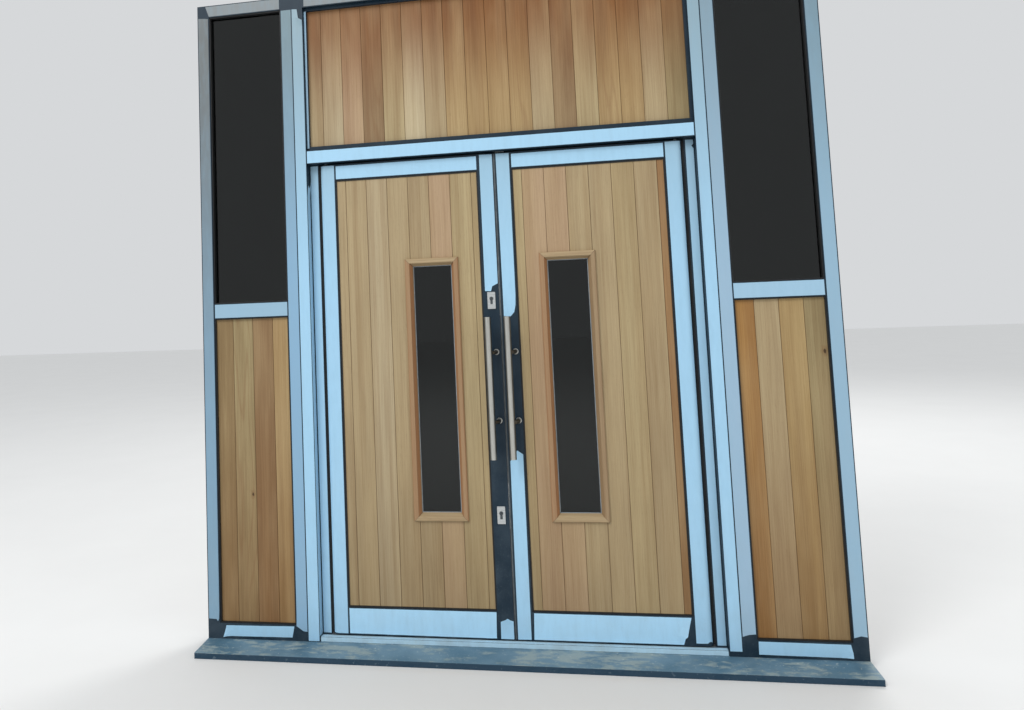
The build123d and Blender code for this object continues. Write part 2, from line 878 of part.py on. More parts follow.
# Seals: a strip on the right leaf, and brushes in the jambs and under the transom
with BuildPart() as meeting_seal_strip:
    upright(
        [(leaf_inner_x - meeting_seal, leaf_inner_x, leaf_front + 3, leaf_front + 9)], [],
        leaf_bottom + 2, leaf_top - 2,
    )
keep(meeting_seal_strip, "meeting_seal")

with BuildPart() as frame_brushes:
    brush_band = (leaf_mid - brush_width / 2, leaf_mid + brush_width / 2)
    for name, side in sides:
        upright(
            [(side * (leaf_outer_x + brush_clear), side * jamb_face_x, *brush_band)], [],
            leaf_bottom, leaf_top,
        )
        upright(
            [(side * (rod_inset + keep_size[0] / 2 + 2), side * (shoe_in - 2), *brush_band)], [],
            leaf_top + brush_clear, transom_bottom,
        )
keep(frame_brushes, "frame_brushes")

# Locks in the left leaf
case_front = leaf_mid - case_thick / 2
case_back = leaf_mid + case_thick / 2
cylinder_front = leaf_front - plate_thick - cylinder_proud
cylinder_back = leaf_back + plate_thick
cam_front = leaf_mid - cam_width / 2
cam_back = leaf_mid + cam_width / 2

with BuildPart() as lock_cases:
    for height in lock_heights:
        face_x = -leaf_inner_x
        upright(
            [(face_x - wall - case_width, face_x - wall, case_front, case_back)], [],
            height - case_below, height + case_above,
        )
        upright(
            [(face_x - wall, face_x, leaf_mid - faceplate_width / 2, leaf_mid + faceplate_width / 2)], [],
            height - case_below - faceplate_margin, height + case_above + faceplate_margin,
        )
        with BuildSketch(facing(case_back)):
            euro_shape(height, cylinder_radius + slide_clear, fit_web, fit_drop)
        extrude(amount=case_thick, mode=Mode.SUBTRACT)
        round_along_y(
            -lock_x, height, cam_radius + 1, cam_front - 1, cam_back + 1, mode=Mode.SUBTRACT,
        )
        half_bolt = bolt_thick / 2 + slide_clear
        upright(
            [(face_x - bolt_length - 3, face_x, leaf_mid - half_bolt, leaf_mid + half_bolt)], [],
            height + bolt_bottom - slide_clear, height + bolt_bottom + bolt_height + slide_clear,
            mode=Mode.SUBTRACT,
        )
keep(lock_cases, "lock_cases")

with BuildPart() as lock_cylinders:
    for height in lock_heights:
        with BuildSketch(facing(cylinder_back)):
            euro_shape(height, cylinder_radius, cylinder_web, cylinder_drop)
        extrude(amount=cylinder_back - cylinder_front)
        round_along_y(
            -lock_x, height, plug_radius + run_clear, cylinder_front, cylinder_back, mode=Mode.SUBTRACT,
        )
        plate(
            -lock_x - cam_radius, -lock_x + cam_radius, height - cam_radius - 1, height + cam_radius,
            cam_front - 1, cam_back + 1, mode=Mode.SUBTRACT,
        )
keep(lock_cylinders, "lock_cylinders")

with BuildPart() as escutcheons:
    for height in lock_heights:
        middle = height - (cylinder_drop - cylinder_radius) / 2
        for y0 in (leaf_front - plate_thick, leaf_back):
            with BuildSketch(facing(y0 + plate_thick)):
                with Locations((-lock_x, middle)):
                    RectangleRounded(plate_width, plate_height, 2.5)
            extrude(amount=plate_thick)
            with BuildSketch(facing(y0 + plate_thick)):
                euro_shape(height, cylinder_radius + slide_clear, fit_web, fit_drop)
            extrude(amount=plate_thick, mode=Mode.SUBTRACT)
keep(escutcheons, "escutcheons")

for label, height in zip(("lower", "upper"), lock_heights):
    with BuildPart() as turn:
        round_along_y(-lock_x, height, plug_radius, cylinder_front, cylinder_back + 2)
        with BuildSketch(facing(cam_back)):
            with Locations((-lock_x, height)):
                Circle(plug_radius + 1.5)
            block(-lock_x - cam_radius, -lock_x, height - 3.5, height + 3.5)
        extrude(amount=cam_width)
        with BuildSketch(facing(cylinder_back + turn_length)):
            with Locations((-lock_x, height)):
                RectangleRounded(turn_width, turn_height, turn_width / 2 - 0.1)
        extrude(amount=turn_length - 2)
        plate(
            -lock_x - key_slot[0] / 2, -lock_x + key_slot[0] / 2,
            height - key_slot[1] / 2, height + key_slot[1] / 2,
            cylinder_front, cylinder_front + key_slot[2], mode=Mode.SUBTRACT,
        )
    keep(turn, f"{label}_turn")

    with BuildPart() as bolt:
        tip = -leaf_inner_x - bolt_set_back
        upright(
            [(tip - bolt_length, tip, leaf_mid - bolt_thick / 2, leaf_mid + bolt_thick / 2)], [],
            height + bolt_bottom, height + bolt_bottom + bolt_height,
        )
        fillet(bolt.edges().filter_by(Axis.Z).group_by(Axis.X)[-1], 2.0)
    keep(bolt, f"{label}_bolt")

# Strikes and flush bolts in the right leaf
with BuildPart() as strikes:
    for height in lock_heights:
        upright(
            [(
                leaf_inner_x, leaf_inner_x + wall,
                leaf_mid - faceplate_width / 2, leaf_mid + faceplate_width / 2,
            )],
            [], height - case_below - faceplate_margin, height + case_above + faceplate_margin,
        )
        upright(
            [(leaf_inner_x, leaf_inner_x + wall, leaf_mid - bolt_thick / 2 - 1, leaf_mid + bolt_thick / 2 + 1)],
            [], height + bolt_bottom - 1, height + bolt_bottom + bolt_height + 1, mode=Mode.SUBTRACT,
        )
keep(strikes, "strikes")

for label, up, end_z, knob_z in (
    ("bottom", -1, leaf_bottom + rod_set_back, knob_heights[0]),
    ("top", 1, leaf_top - rod_set_back, knob_heights[1]),
):
    with BuildPart() as flush_bolt:
        round_along_z(rod_inset, leaf_mid, rod_radius, *sorted((end_z, end_z - up * rod_length)))
        round_along_y(rod_inset, knob_z, knob_radius / 2 - slide_clear, leaf_mid, leaf_back + knob_reach)
        round_along_y(rod_inset, knob_z, knob_radius, leaf_back + 4, leaf_back + knob_reach)
    keep(flush_bolt, f"{label}_flush_bolt")

with BuildPart() as flush_bolt_guides:
    tube_half = leaf_thick / 2 - wall
    for up, end_z, knob_z in ((-1, leaf_bottom, knob_heights[0]), (1, leaf_top, knob_heights[1])):
        low, high = sorted((end_z, end_z - up * guide_thick))
        upright(
            [(
                leaf_inner_x + wall, stile_tube_inner - wall,
                leaf_mid - tube_half, leaf_mid + tube_half,
            )],
            [], low, high,
        )
        round_along_z(rod_inset, leaf_mid, rod_radius + run_clear, low, high, mode=Mode.SUBTRACT)
        slot_low, slot_high = sorted((knob_z, knob_z + up * rod_throw))
        plate(
            rod_inset - 13, rod_inset + 13, slot_low - 22, slot_high + 22, leaf_back, leaf_back + 3,
        )
        plate(
            rod_inset - knob_radius / 2, rod_inset + knob_radius / 2,
            slot_low - knob_radius, slot_high + knob_radius, leaf_back, leaf_back + 3, mode=Mode.SUBTRACT,
        )
keep(flush_bolt_guides, "flush_bolt_guides")

print(f"frame {frame_width:.0f} x {frame_top:.0f}, leaf {leaf_width:.0f} x {leaf_height:.0f}")
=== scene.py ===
"""Entrance door screen of timber boards and glass in a dark frame, with film on its faces."""

import math

import bmesh
import bpy
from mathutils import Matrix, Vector, noise


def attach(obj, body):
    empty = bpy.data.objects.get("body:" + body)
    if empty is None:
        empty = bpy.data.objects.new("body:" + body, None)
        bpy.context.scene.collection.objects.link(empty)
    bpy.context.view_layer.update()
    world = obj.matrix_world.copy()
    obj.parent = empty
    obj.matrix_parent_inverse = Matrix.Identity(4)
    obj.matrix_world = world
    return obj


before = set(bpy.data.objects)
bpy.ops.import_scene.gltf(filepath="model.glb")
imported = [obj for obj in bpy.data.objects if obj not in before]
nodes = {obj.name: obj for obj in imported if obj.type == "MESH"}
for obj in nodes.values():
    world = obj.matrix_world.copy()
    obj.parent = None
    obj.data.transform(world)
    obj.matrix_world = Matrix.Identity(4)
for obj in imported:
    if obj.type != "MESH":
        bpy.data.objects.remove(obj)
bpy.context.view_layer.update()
MM = 0.001

# Faces that the film lies on, in millimetres
FRAME_FACE = -8.0
LEAF_FACE = 18.0
SUB_FRAME_FACE = 37.0
THRESHOLD_FACE = -3.0
THRESHOLD_TOP = 50.0
OVER_BEAD_FACE = 10.0
MULLION_RETURN = 870.0

# Edge of a hinge stile: its flat part, then a round with its middle, radius and filmed degrees
STILE_FLAT = (745.0, 768.0)
STILE_AXIS = (791.0, 43.0)
STILE_RADIUS = 25.0
STILE_TURN = 50
STILE_STEP = 10
STILE_FILM_WIDTH = 65.0
STILE_FILM_Z = (60.0, 2174.0)

# Heights and ends of the rails, as far as film covers them, and half the width over the doors
HEAD = (2941, 2991)
MID_RAIL = (1485, 1548)
LEAF_TOP_RAIL = (2109, 2170)
LEAF_RAIL = (79, 737)
OPENING = 866

# The film itself, in millimetres: its thickness, its lift off the face, its slices, ripples, waves
# and curls, the distance at which points are one, and the least share of a slice at the end
FILM_THICK = 0.25
FILM_LIFT = 0.08
FILM_SLICE = 22.0
FILM_RIPPLE = 0.35
EVEN_RIPPLE = 0.3
EDGE_RIPPLE = 0.5
WAVE_SCALE = 18.0
FINE_WAVE = 3.1
EDGE_WAVE = 2.3
CURL_REACH = 45.0
TEAR_WAVES = 9.0
SAME_SPOT = 0.3
LAST_SLICE = 0.3

# Vision panes and the line of light tape round them, in millimetres
VISION_MIDDLE = (303.0, 1136.0)
VISION_SIGHT = (88.5, 550.0)
VISION_GLASS_FACE = 42.0
TAPE_INSETS = (0.1, 3.2)

# Boards, in metres: the pitch and the first joint of each row. Beads, in metres: their middle, half
# their size, the depths between which they slope, and the depth up to which they lie outside
BOARD_PITCH = 0.0975
LEFT_LEAF_JOINT = -0.108
RIGHT_LEAF_JOINT = 0.121
SIDE_JOINT = 1.061
OVER_JOINT = -0.792
BEAD_MIDDLE = (0.303, 1.136)
BEAD_HALF = (0.1215, 0.583)
BEAD_SLOPE = (0.0125, 0.0165)
BEAD_OUTSIDE = 0.035

# Posts of the pull handles, in metres: the middle of the leaf, and where they begin and end
LEAF_MIDDLE = 0.043
POST_NEAR = 0.0295
POST_FAR = 0.0795


# Small helpers for node trees
def colour(code):
    """A colour written as the screen shows it, as the linear value that a socket takes."""
    parts = [int(code[i:i + 2], 16) / 255 for i in (1, 3, 5)]
    linear = [p / 12.92 if p <= 0.04045 else ((p + 0.055) / 1.055) ** 2.4 for p in parts]
    return (*linear, 1.0)


def wire(tree, socket, value):
    """Links a socket, or sets it where the value is plain."""
    if isinstance(value, bpy.types.NodeSocket):
        tree.links.new(value, socket)
    elif value is not None:
        socket.default_value = value


def calc(tree, operation, a, b=None, clamp=False):
    made = tree.nodes.new("ShaderNodeMath")
    made.operation = operation
    made.use_clamp = clamp
    wire(tree, made.inputs[0], a)
    wire(tree, made.inputs[1], b)
    return made.outputs[0]


def times(tree, a, b):
    return calc(tree, "MULTIPLY", a, b)


def plus(tree, a, b):
    return calc(tree, "ADD", a, b)


def minus(tree, a, b):
    return calc(tree, "SUBTRACT", a, b)


def apart(tree, value, middle):
    """How far a value is from a middle, to either side."""
    return calc(tree, "ABSOLUTE", minus(tree, value, middle))


def vector_calc(tree, operation, a, b=None):
    made = tree.nodes.new("ShaderNodeVectorMath")
    made.operation = operation
    wire(tree, made.inputs[0], a)
    wire(tree, made.inputs[1], b)
    return made.outputs["Value" if operation == "LENGTH" else "Vector"]


def stretched(tree, vector, factors):
    """Coordinates multiplied along each axis. A small factor draws a pattern out along it."""
    return vector_calc(tree, "MULTIPLY", vector, factors)


def split(tree, vector):
    made = tree.nodes.new("ShaderNodeSeparateXYZ")
    wire(tree, made.inputs[0], vector)
    return made.outputs


def join(tree, x, y, z):
    made = tree.nodes.new("ShaderNodeCombineXYZ")
    for socket, value in zip(made.inputs, (x, y, z)):
        wire(tree, socket, value)
    return made.outputs[0]


def cloud(tree, vector, scale, detail, rough, distortion=0.0):
    """Soft noise, between 0 and 1."""
    made = tree.nodes.new("ShaderNodeTexNoise")
    wire(tree, made.inputs["Vector"], vector)
    for name, value in (("Scale", scale), ("Detail", detail), ("Roughness", rough),
                        ("Distortion", distortion)):
        wire(tree, made.inputs[name], value)
    return made.outputs["Fac"]


def spread(tree, value, low, high, to_low=0.0, to_high=1.0):
    """Runs smoothly from to_low, where the value is low, to to_high, where it is high."""
    made = tree.nodes.new("ShaderNodeMapRange")
    made.interpolation_type = "SMOOTHSTEP"
    for name, item in (("Value", value), ("From Min", low), ("From Max", high),
                       ("To Min", to_low), ("To Max", to_high)):
        wire(tree, made.inputs[name], item)
    return made.outputs[0]


def mix(tree, factor, a, b, blend="MIX"):
    made = tree.nodes.new("ShaderNodeMix")
    made.data_type = "RGBA"
    made.blend_type = blend
    wire(tree, made.inputs["Factor"], factor)
    wire(tree, made.inputs["A"], a)
    wire(tree, made.inputs["B"], b)
    return made.outputs["Result"]


def stain(tree, base, share, code, blend="MIX"):
    """A colour with a share of another in it."""
    return mix(tree, share, base, colour(code), blend)


def steps(tree, value, stops):
    """A ramp whose colours change in steps, without a passage between them."""
    made = tree.nodes.new("ShaderNodeValToRGB")
    made.color_ramp.interpolation = "CONSTANT"
    elements = made.color_ramp.elements
    elements[0].position, elements[0].color = stops[0]
    elements[1].position, elements[1].color = stops[-1]
    for spot, shade in stops[1:-1]:
        elements.new(spot).color = shade
    wire(tree, made.inputs[0], value)
    return made.outputs["Color"]


def bump(tree, height, strength, distance):
    made = tree.nodes.new("ShaderNodeBump")
    made.inputs["Strength"].default_value = strength
    made.inputs["Distance"].default_value = distance
    wire(tree, made.inputs["Height"], height)
    return made.outputs[0]


def shared(name, inputs, outputs):
    """A node group with named inputs and outputs, as its tree, its inputs and its output node."""
    tree = bpy.data.node_groups.new(name, "ShaderNodeTree")
    for label, kind, value in inputs:
        made = tree.interface.new_socket(name=label, in_out="INPUT", socket_type=kind)
        if value is not None:
            made.default_value = value
    for label, kind in outputs:
        tree.interface.new_socket(name=label, in_out="OUTPUT", socket_type=kind)
    return tree, tree.nodes.new("NodeGroupInput").outputs, tree.nodes.new("NodeGroupOutput").inputs


def place(tree, group, **values):
    """Puts a node group in a tree, with its own values, and gives its outputs."""
    made = tree.nodes.new("ShaderNodeGroup")
    made.node_tree = group
    for name, value in values.items():
        wire(tree, made.inputs[name], value)
    return made.outputs


VALUE, POINT = "NodeSocketFloat", "NodeSocketVector"

# Sizes of the shared patterns: how fine each is, in marks to the metre, how far apart the wood of
# two boards lies, how many rings a flame has, and the share of a board that a joint takes
FIBRES, PORES, PATCHES = 330.0, 620.0, 6.0
SPECKS, RUNS, BLOTCHES, KNOT_EDGE = 260.0, 34.0, 6.0, 90.0
SCATTER = (30.0, 30.0, 30.0)
FLAME_RINGS = 11.0
JOINT_SHARE = (0.005, 0.018)


# Node groups that several finishes share
def board_rows_group():
    """Rows of upright boards: the number of each board, its own stretch of wood, and the joints."""
    tree, given, made = shared(
        "board_rows",
        [("Vector", POINT, None), ("First", VALUE, 0.0), ("Pitch", VALUE, BOARD_PITCH),
         ("Seed", VALUE, 0.0)],
        [("Board", VALUE), ("Tone", VALUE), ("Wood", POINT), ("Joint", VALUE)],
    )
    x = split(tree, given["Vector"])[0]
    count = calc(tree, "DIVIDE", minus(tree, x, given["First"]), given["Pitch"])
    board = calc(tree, "FLOOR", count)
    wire(tree, made["Board"], board)
    white = tree.nodes.new("ShaderNodeTexWhiteNoise")
    white.noise_dimensions = "1D"
    wire(tree, white.inputs["W"], plus(tree, board, given["Seed"]))
    wire(tree, made["Tone"], white.outputs["Value"])
    far = stretched(tree, white.outputs["Color"], SCATTER)
    wire(tree, made["Wood"], vector_calc(tree, "ADD", given["Vector"], far))
    across = calc(tree, "FRACT", count)
    edge = calc(tree, "MINIMUM", across, minus(tree, 1.0, across))
    wire(tree, made["Joint"], spread(tree, edge, *JOINT_SHARE, 1.0, 0.0))
    return tree


def wood_figure_group():
    """Figure of sawn softwood: straight growth lines, fibres, short dark pores, patches, and the
    flames of a flat-sawn board."""
    tree, given, made = shared(
        "wood_figure",
        [("Vector", POINT, None), ("Width", VALUE, 26.0), ("Flame Width", VALUE, 9.0)],
        [("Growth", VALUE), ("Fibre", VALUE), ("Pores", VALUE), ("Patches", VALUE),
         ("Flame", VALUE), ("Height", VALUE)],
    )
    along = {part: stretched(tree, given["Vector"], (1.0, 1.0, drawn_out)) for part, drawn_out in (
        ("growth", 0.022), ("fibre", 0.012), ("pores", 0.05), ("patches", 0.22), ("flame", 0.09))}
    growth = spread(tree, cloud(tree, along["growth"], given["Width"], 3.0, 0.6, 0.1), 0.34, 0.7)
    fibre = cloud(tree, along["fibre"], FIBRES, 3.0, 0.6)
    pores = spread(tree, cloud(tree, along["pores"], PORES, 1.0, 0.5), 0.64, 0.74)
    patches = cloud(tree, along["patches"], PATCHES, 3.0, 0.55)
    field = cloud(tree, along["flame"], given["Flame Width"], 1.5, 0.45, 0.2)
    waves = calc(tree, "PINGPONG", times(tree, field, FLAME_RINGS), 0.5)
    relief = plus(tree, times(tree, fibre, 0.7), times(tree, growth, 0.3))
    for label, value in (("Growth", growth), ("Fibre", fibre), ("Pores", pores),
                         ("Patches", patches), ("Flame", spread(tree, waves, 0.3, 0.5)),
                         ("Height", minus(tree, relief, times(tree, pores, 0.5)))):
        wire(tree, made[label], value)
    return tree


def dust_group():
    """Dust that settles low down and in soft patches, with fine specks and the runs of rain."""
    tree, given, made = shared(
        "site_dust",
        [("Vector", POINT, None), ("Low", VALUE, 0.0), ("High", VALUE, 1.2), ("Size", VALUE, 4.0)],
        [("Veil", VALUE), ("Specks", VALUE), ("Runs", VALUE)],
    )
    height = spread(tree, split(tree, given["Vector"])[2], given["Low"], given["High"], 1.0, 0.25)
    soft = spread(tree, cloud(tree, given["Vector"], given["Size"], 5.0, 0.62), 0.36, 0.72)
    specks = spread(tree, cloud(tree, given["Vector"], SPECKS, 1.0, 0.5), 0.68, 0.76)
    fall = stretched(tree, given["Vector"], (1.0, 1.0, 0.08))
    wire(tree, made["Veil"], times(tree, soft, height))
    wire(tree, made["Specks"], times(tree, specks, height))
    wire(tree, made["Runs"], spread(tree, cloud(tree, fall, RUNS, 4.0, 0.6), 0.5, 0.8))
    return tree


def grain_group():
    """Grain of a surface that was rubbed or sprayed in one direction, and soft blotches."""
    tree, given, made = shared(
        "fine_grain",
        [("Vector", POINT, None), ("Scale", VALUE, 300.0), ("Stretch", POINT, (1.0, 1.0, 1.0))],
        [("Lines", VALUE), ("Blotch", VALUE)],
    )
    pulled = stretched(tree, given["Vector"], given["Stretch"])
    wire(tree, made["Lines"], cloud(tree, pulled, given["Scale"], 3.0, 0.6))
    wire(tree, made["Blotch"], cloud(tree, given["Vector"], BLOTCHES, 3.0, 0.55))
    return tree


def knot_group():
    """A knot in a board, as a dark eye with a softer ring round it."""
    tree, given, made = shared(
        "board_knot",
        [("Vector", POINT, None), ("Centre", POINT, (0.0, 0.0, 0.0)), ("Radius", VALUE, 0.01)],
        [("Eye", VALUE), ("Halo", VALUE)],
    )
    away = vector_calc(tree, "SUBTRACT", given["Vector"], given["Centre"])
    flat = vector_calc(tree, "LENGTH", stretched(tree, away, (1.0, 0.0, 0.55)))
    wobble = spread(tree, cloud(tree, given["Vector"], KNOT_EDGE, 2.0, 0.5), 0.2, 0.8, 0.75, 1.25)
    reach = times(tree, calc(tree, "DIVIDE", flat, given["Radius"]), wobble)
    wire(tree, made["Eye"], spread(tree, reach, 0.5, 1.0, 1.0, 0.0))
    wire(tree, made["Halo"], spread(tree, reach, 0.9, 2.6, 1.0, 0.0))
    return tree


board_rows = board_rows_group()
wood_figure = wood_figure_group()
site_dust = dust_group()
fine_grain = grain_group()
board_knot = knot_group()


def new_material(name):
    """A material, with its tree, its one Principled shader and the object coordinates."""
    made = bpy.data.materials.new(name)
    made.use_nodes = True
    tree = made.node_tree
    shader = tree.nodes["Principled BSDF"]
    where = tree.nodes.new("ShaderNodeTexCoord").outputs["Object"]
    return made, tree, shader, where


def dress(tree, shader, base, rough, relief, gloss=None):
    """Gives a shader its colour, its roughness and its plain gloss, and its relief, which is a
    height with a strength and a depth in metres."""
    wire(tree, shader.inputs["Base Color"], base)
    wire(tree, shader.inputs["Roughness"], rough)
    wire(tree, shader.inputs["Specular IOR Level"], gloss)
    wire(tree, shader.inputs["Normal"], bump(tree, *relief))


# Tones of the boards, as a joiner would name them, and the tints of their figure
SHADE = {
    "tan": "#AB9876", "straw": "#B09E78", "pale": "#B5A586", "pink": "#B29778", "gold": "#A88D5E",
    "brown": "#8F7250", "dark": "#8B7152", "amber": "#A3773F", "olive": "#978762",
    "honey": "#AB9064", "rust": "#96714A", "cream": "#C2B494", "umber": "#917B56",
}
GROWTH_TINT, PATCH_TINT, FIBRE_TINT = "#B08E66", "#C2AC82", "#A58E6E"
PORE_TINT, FLAME_TINT, JOINT_TINT = "#6A4E34", "#7C5838", "#5A3E26"
HALO_TINT, EYE_TINT = "#7C5A38", "#3A2616"


def tone_of_boards(tree, board, start, shades):
    """The tone of each board of a row, from the board numbered start on."""
    count = len(shades)
    turn = calc(tree, "DIVIDE", plus(tree, board, 0.5 - start), float(count))
    return steps(tree, turn, [(i / count, colour(SHADE[s])) for i, s in enumerate(shades)])


def timber(name, first, start, shades, seed, knots=(), deeper=(), flames=0.0, right=None):
    """Boards of a row, from its first joint. Shades name the tone of each board from the board
    numbered start on. Deeper gives heights between which the boards turn darker, with the share
    and the colour. Flames is the share of boards with a flat-sawn figure. Right gives the first
    joint, the start and the shades of a second row, which begins at the middle of the screen."""
    made, tree, shader, where = new_material(name)
    parts = split(tree, where)
    if right:
        beyond = calc(tree, "GREATER_THAN", parts[0], 0.0)
        first = plus(tree, times(tree, beyond, right[0] - first), first)
    row = place(tree, board_rows, Vector=where, First=first, Seed=seed)
    figure = place(tree, wood_figure, Vector=row["Wood"])
    growth, patches, fibre = figure["Growth"], figure["Patches"], figure["Fibre"]
    base = tone_of_boards(tree, row["Board"], start, shades)
    if right:
        base = mix(tree, beyond, base, tone_of_boards(tree, row["Board"], right[1], right[2]))
    for low, high, share, tint in deeper:
        base = stain(tree, base, times(tree, spread(tree, parts[2], low, high), share), tint)
    base = stain(tree, base, spread(tree, growth, 0.0, 1.0, 0.0, 0.30), GROWTH_TINT, "MULTIPLY")
    base = stain(tree, base, spread(tree, patches, 0.3, 0.75, 0.0, 0.32), PATCH_TINT)
    base = stain(tree, base, spread(tree, fibre, 0.3, 0.75, 0.0, 0.26), FIBRE_TINT, "MULTIPLY")
    base = stain(tree, base, times(tree, figure["Pores"], 0.22), PORE_TINT)
    if flames:
        picked = spread(tree, row["Tone"], 1.0 - flames, 1.0 - flames + 0.02)
        shown = times(tree, times(tree, figure["Flame"], picked), 0.28)
        base = stain(tree, base, shown, FLAME_TINT)
    base = stain(tree, base, times(tree, row["Joint"], 0.5), JOINT_TINT)
    for knot_x, knot_z, size in knots:
        knot = place(tree, board_knot, Vector=where, Centre=(knot_x, 0.0, knot_z), Radius=size)
        base = stain(tree, base, times(tree, knot["Halo"], 0.4), HALO_TINT)
        base = stain(tree, base, times(tree, knot["Eye"], 0.85), EYE_TINT)
    dress(tree, shader, base, spread(tree, fibre, 0.2, 0.8, 0.5, 0.68),
          (figure["Height"], 0.3, 0.0005), gloss=0.3)
    return made


def bead_timber(name, side, light, dark, left_red, right_red):
    """Bead timber whose grain runs along each side and turns at the mitres. Side is -1 on the left
    leaf and 1 on the right. The shares of red-brown on the inner slopes of its left and right
    upright are partly wood tone and partly painted shade."""
    made, tree, shader, where = new_material(name)
    x, y, z = split(tree, where)
    from_centre = minus(tree, x, side * BEAD_MIDDLE[0])
    from_side = minus(tree, BEAD_HALF[0], calc(tree, "ABSOLUTE", from_centre))
    from_end = minus(tree, BEAD_HALF[1], apart(tree, z, BEAD_MIDDLE[1]))
    level = calc(tree, "GREATER_THAN", from_side, from_end)
    upright = minus(tree, 1.0, level)
    turned = tree.nodes.new("ShaderNodeMix")
    turned.data_type = "VECTOR"
    wire(tree, turned.inputs[0], level)
    wire(tree, turned.inputs[4], join(tree, x, y, z))
    wire(tree, turned.inputs[5], join(tree, z, y, x))
    hand = times(tree, times(tree, calc(tree, "SIGN", from_centre), upright), 3.0)
    own_part = join(tree, hand, 0.0, times(tree, level, 5.0))
    own = vector_calc(tree, "ADD", turned.outputs[1], own_part)
    figure = place(tree, wood_figure, Vector=own, Width=60.0)
    fibre = figure["Fibre"]
    base = mix(tree, figure["Growth"], colour(light), colour(dark))
    base = stain(tree, base, spread(tree, fibre, 0.3, 0.75, 0.0, 0.25), FIBRE_TINT, "MULTIPLY")
    base = stain(tree, base, times(tree, figure["Pores"], 0.25), "#5A4028")
    base = stain(tree, base, times(tree, upright, 0.45), "#7C644A")
    outside = calc(tree, "LESS_THAN", y, BEAD_OUTSIDE)
    inner = times(tree, spread(tree, y, *BEAD_SLOPE, 0.4, 1.0), outside)
    # Partly painted shade: red-brown on the inner slopes of the uprights, part wood tone and part
    # shade on the slopes turned away from the light
    red = spread(tree, from_centre, -0.05, 0.05, left_red, right_red)
    base = stain(tree, base, times(tree, inner, times(tree, red, upright)), "#A97750")
    mitre = calc(tree, "ABSOLUTE", minus(tree, from_side, from_end))
    base = stain(tree, base, spread(tree, mitre, 0.0004, 0.0014, 0.7, 0.0), "#3A2818")
    dress(tree, shader, base, spread(tree, fibre, 0.2, 0.8, 0.42, 0.6),
          (figure["Height"], 0.25, 0.0004), gloss=0.35)
    return made


def powder_coat(name, base_code, veil=0.16, high=1.4):
    """Powder coat, with a veil of site dust on it, which thins out from the ground up."""
    made, tree, shader, where = new_material(name)
    dust = place(tree, site_dust, Vector=where, High=high, Size=7.0)
    grain = place(tree, fine_grain, Vector=where, Scale=900.0)
    blotches = spread(tree, grain["Blotch"], 0.3, 0.7, 0.0, 0.25)
    base = stain(tree, colour(base_code), blotches, "#18303D")
    base = stain(tree, base, times(tree, dust["Veil"], veil), "#71808A")
    base = stain(tree, base, times(tree, dust["Specks"], 0.25), "#8A9598")
    base = stain(tree, base, times(tree, dust["Runs"], 0.08), "#5D6A70")
    rough = calc(tree, "ADD", spread(tree, grain["Lines"], 0.2, 0.8, 0.40, 0.52),
                 times(tree, dust["Veil"], 0.22), clamp=True)
    dress(tree, shader, base, rough, (grain["Lines"], 0.25, 0.0003), gloss=0.35)
    return made


def trodden_sill():
    """Coated sill whose top is lighter than its front edge, and carries pale smears and crumbs."""
    made, tree, shader, where = new_material("sill_coat")
    grain = place(tree, fine_grain, Vector=where, Scale=700.0)
    top = spread(tree, split(tree, where)[2], 0.0225, 0.0250)
    # The top is lighter than the front edge
    sill_top = stain(tree, colour("#4E6F82"), spread(tree, grain["Blotch"], 0.3, 0.7), "#6C8898")
    flow = stretched(tree, where, (0.4, 1.0, 1.0))
    spill = spread(tree, cloud(tree, flow, 15.0, 8.0, 0.76), 0.5, 0.58)
    crumbs = spread(tree, cloud(tree, where, 80.0, 3.0, 0.6), 0.64, 0.70)
    sill_top = stain(tree, sill_top, times(tree, spill, 0.55), "#A5B0A9")
    sill_top = stain(tree, sill_top, times(tree, crumbs, 0.5), "#C4C8C2")
    base = mix(tree, top, colour("#1C3A4E"), sill_top)
    chips = spread(tree, cloud(tree, where, 60.0, 3.0, 0.6), 0.62, 0.7)
    base = stain(tree, base, times(tree, chips, 0.25), "#8FA0A8")
    relief = plus(tree, grain["Lines"], times(tree, spill, 1.5))
    dress(tree, shader, base, spread(tree, spill, 0.0, 1.0, 0.45, 0.8), (relief, 0.3, 0.0006),
          gloss=0.4)
    return made


def protective_film(name, low_code, high_code, change=(1.5, 3.05), dirt=0.1):
    """Low-tack film: light blue, slightly wrinkled and dusty near the ground. Its colour turns
    from the low to the high one between the two heights of change. A darker, greyer high colour
    is painted shade under the soffit."""
    made, tree, shader, where = new_material(name)
    rise = spread(tree, split(tree, where)[2], *change)
    base = mix(tree, rise, colour(low_code), colour(high_code))
    dust = place(tree, site_dust, Vector=where, High=0.9, Size=9.0)
    folds = place(tree, fine_grain, Vector=where, Scale=45.0, Stretch=(1.0, 1.0, 0.22))
    # Painted shade in the creases of the wrinkles
    base = stain(tree, base, spread(tree, folds["Lines"], 0.35, 0.75, 0.0, 0.14), "#86B0C8")
    base = stain(tree, base, times(tree, dust["Veil"], dirt), "#9AA5A4")
    base = stain(tree, base, times(tree, dust["Specks"], 0.15), "#6D6A60")
    base = stain(tree, base, times(tree, dust["Runs"], 0.08), "#93A2AA")
    pucker = plus(tree, folds["Lines"], times(tree, folds["Blotch"], 2.0))
    dress(tree, shader, base, spread(tree, folds["Lines"], 0.3, 0.7, 0.30, 0.46),
          (pucker, 0.35, 0.001), gloss=0.35)
    return made


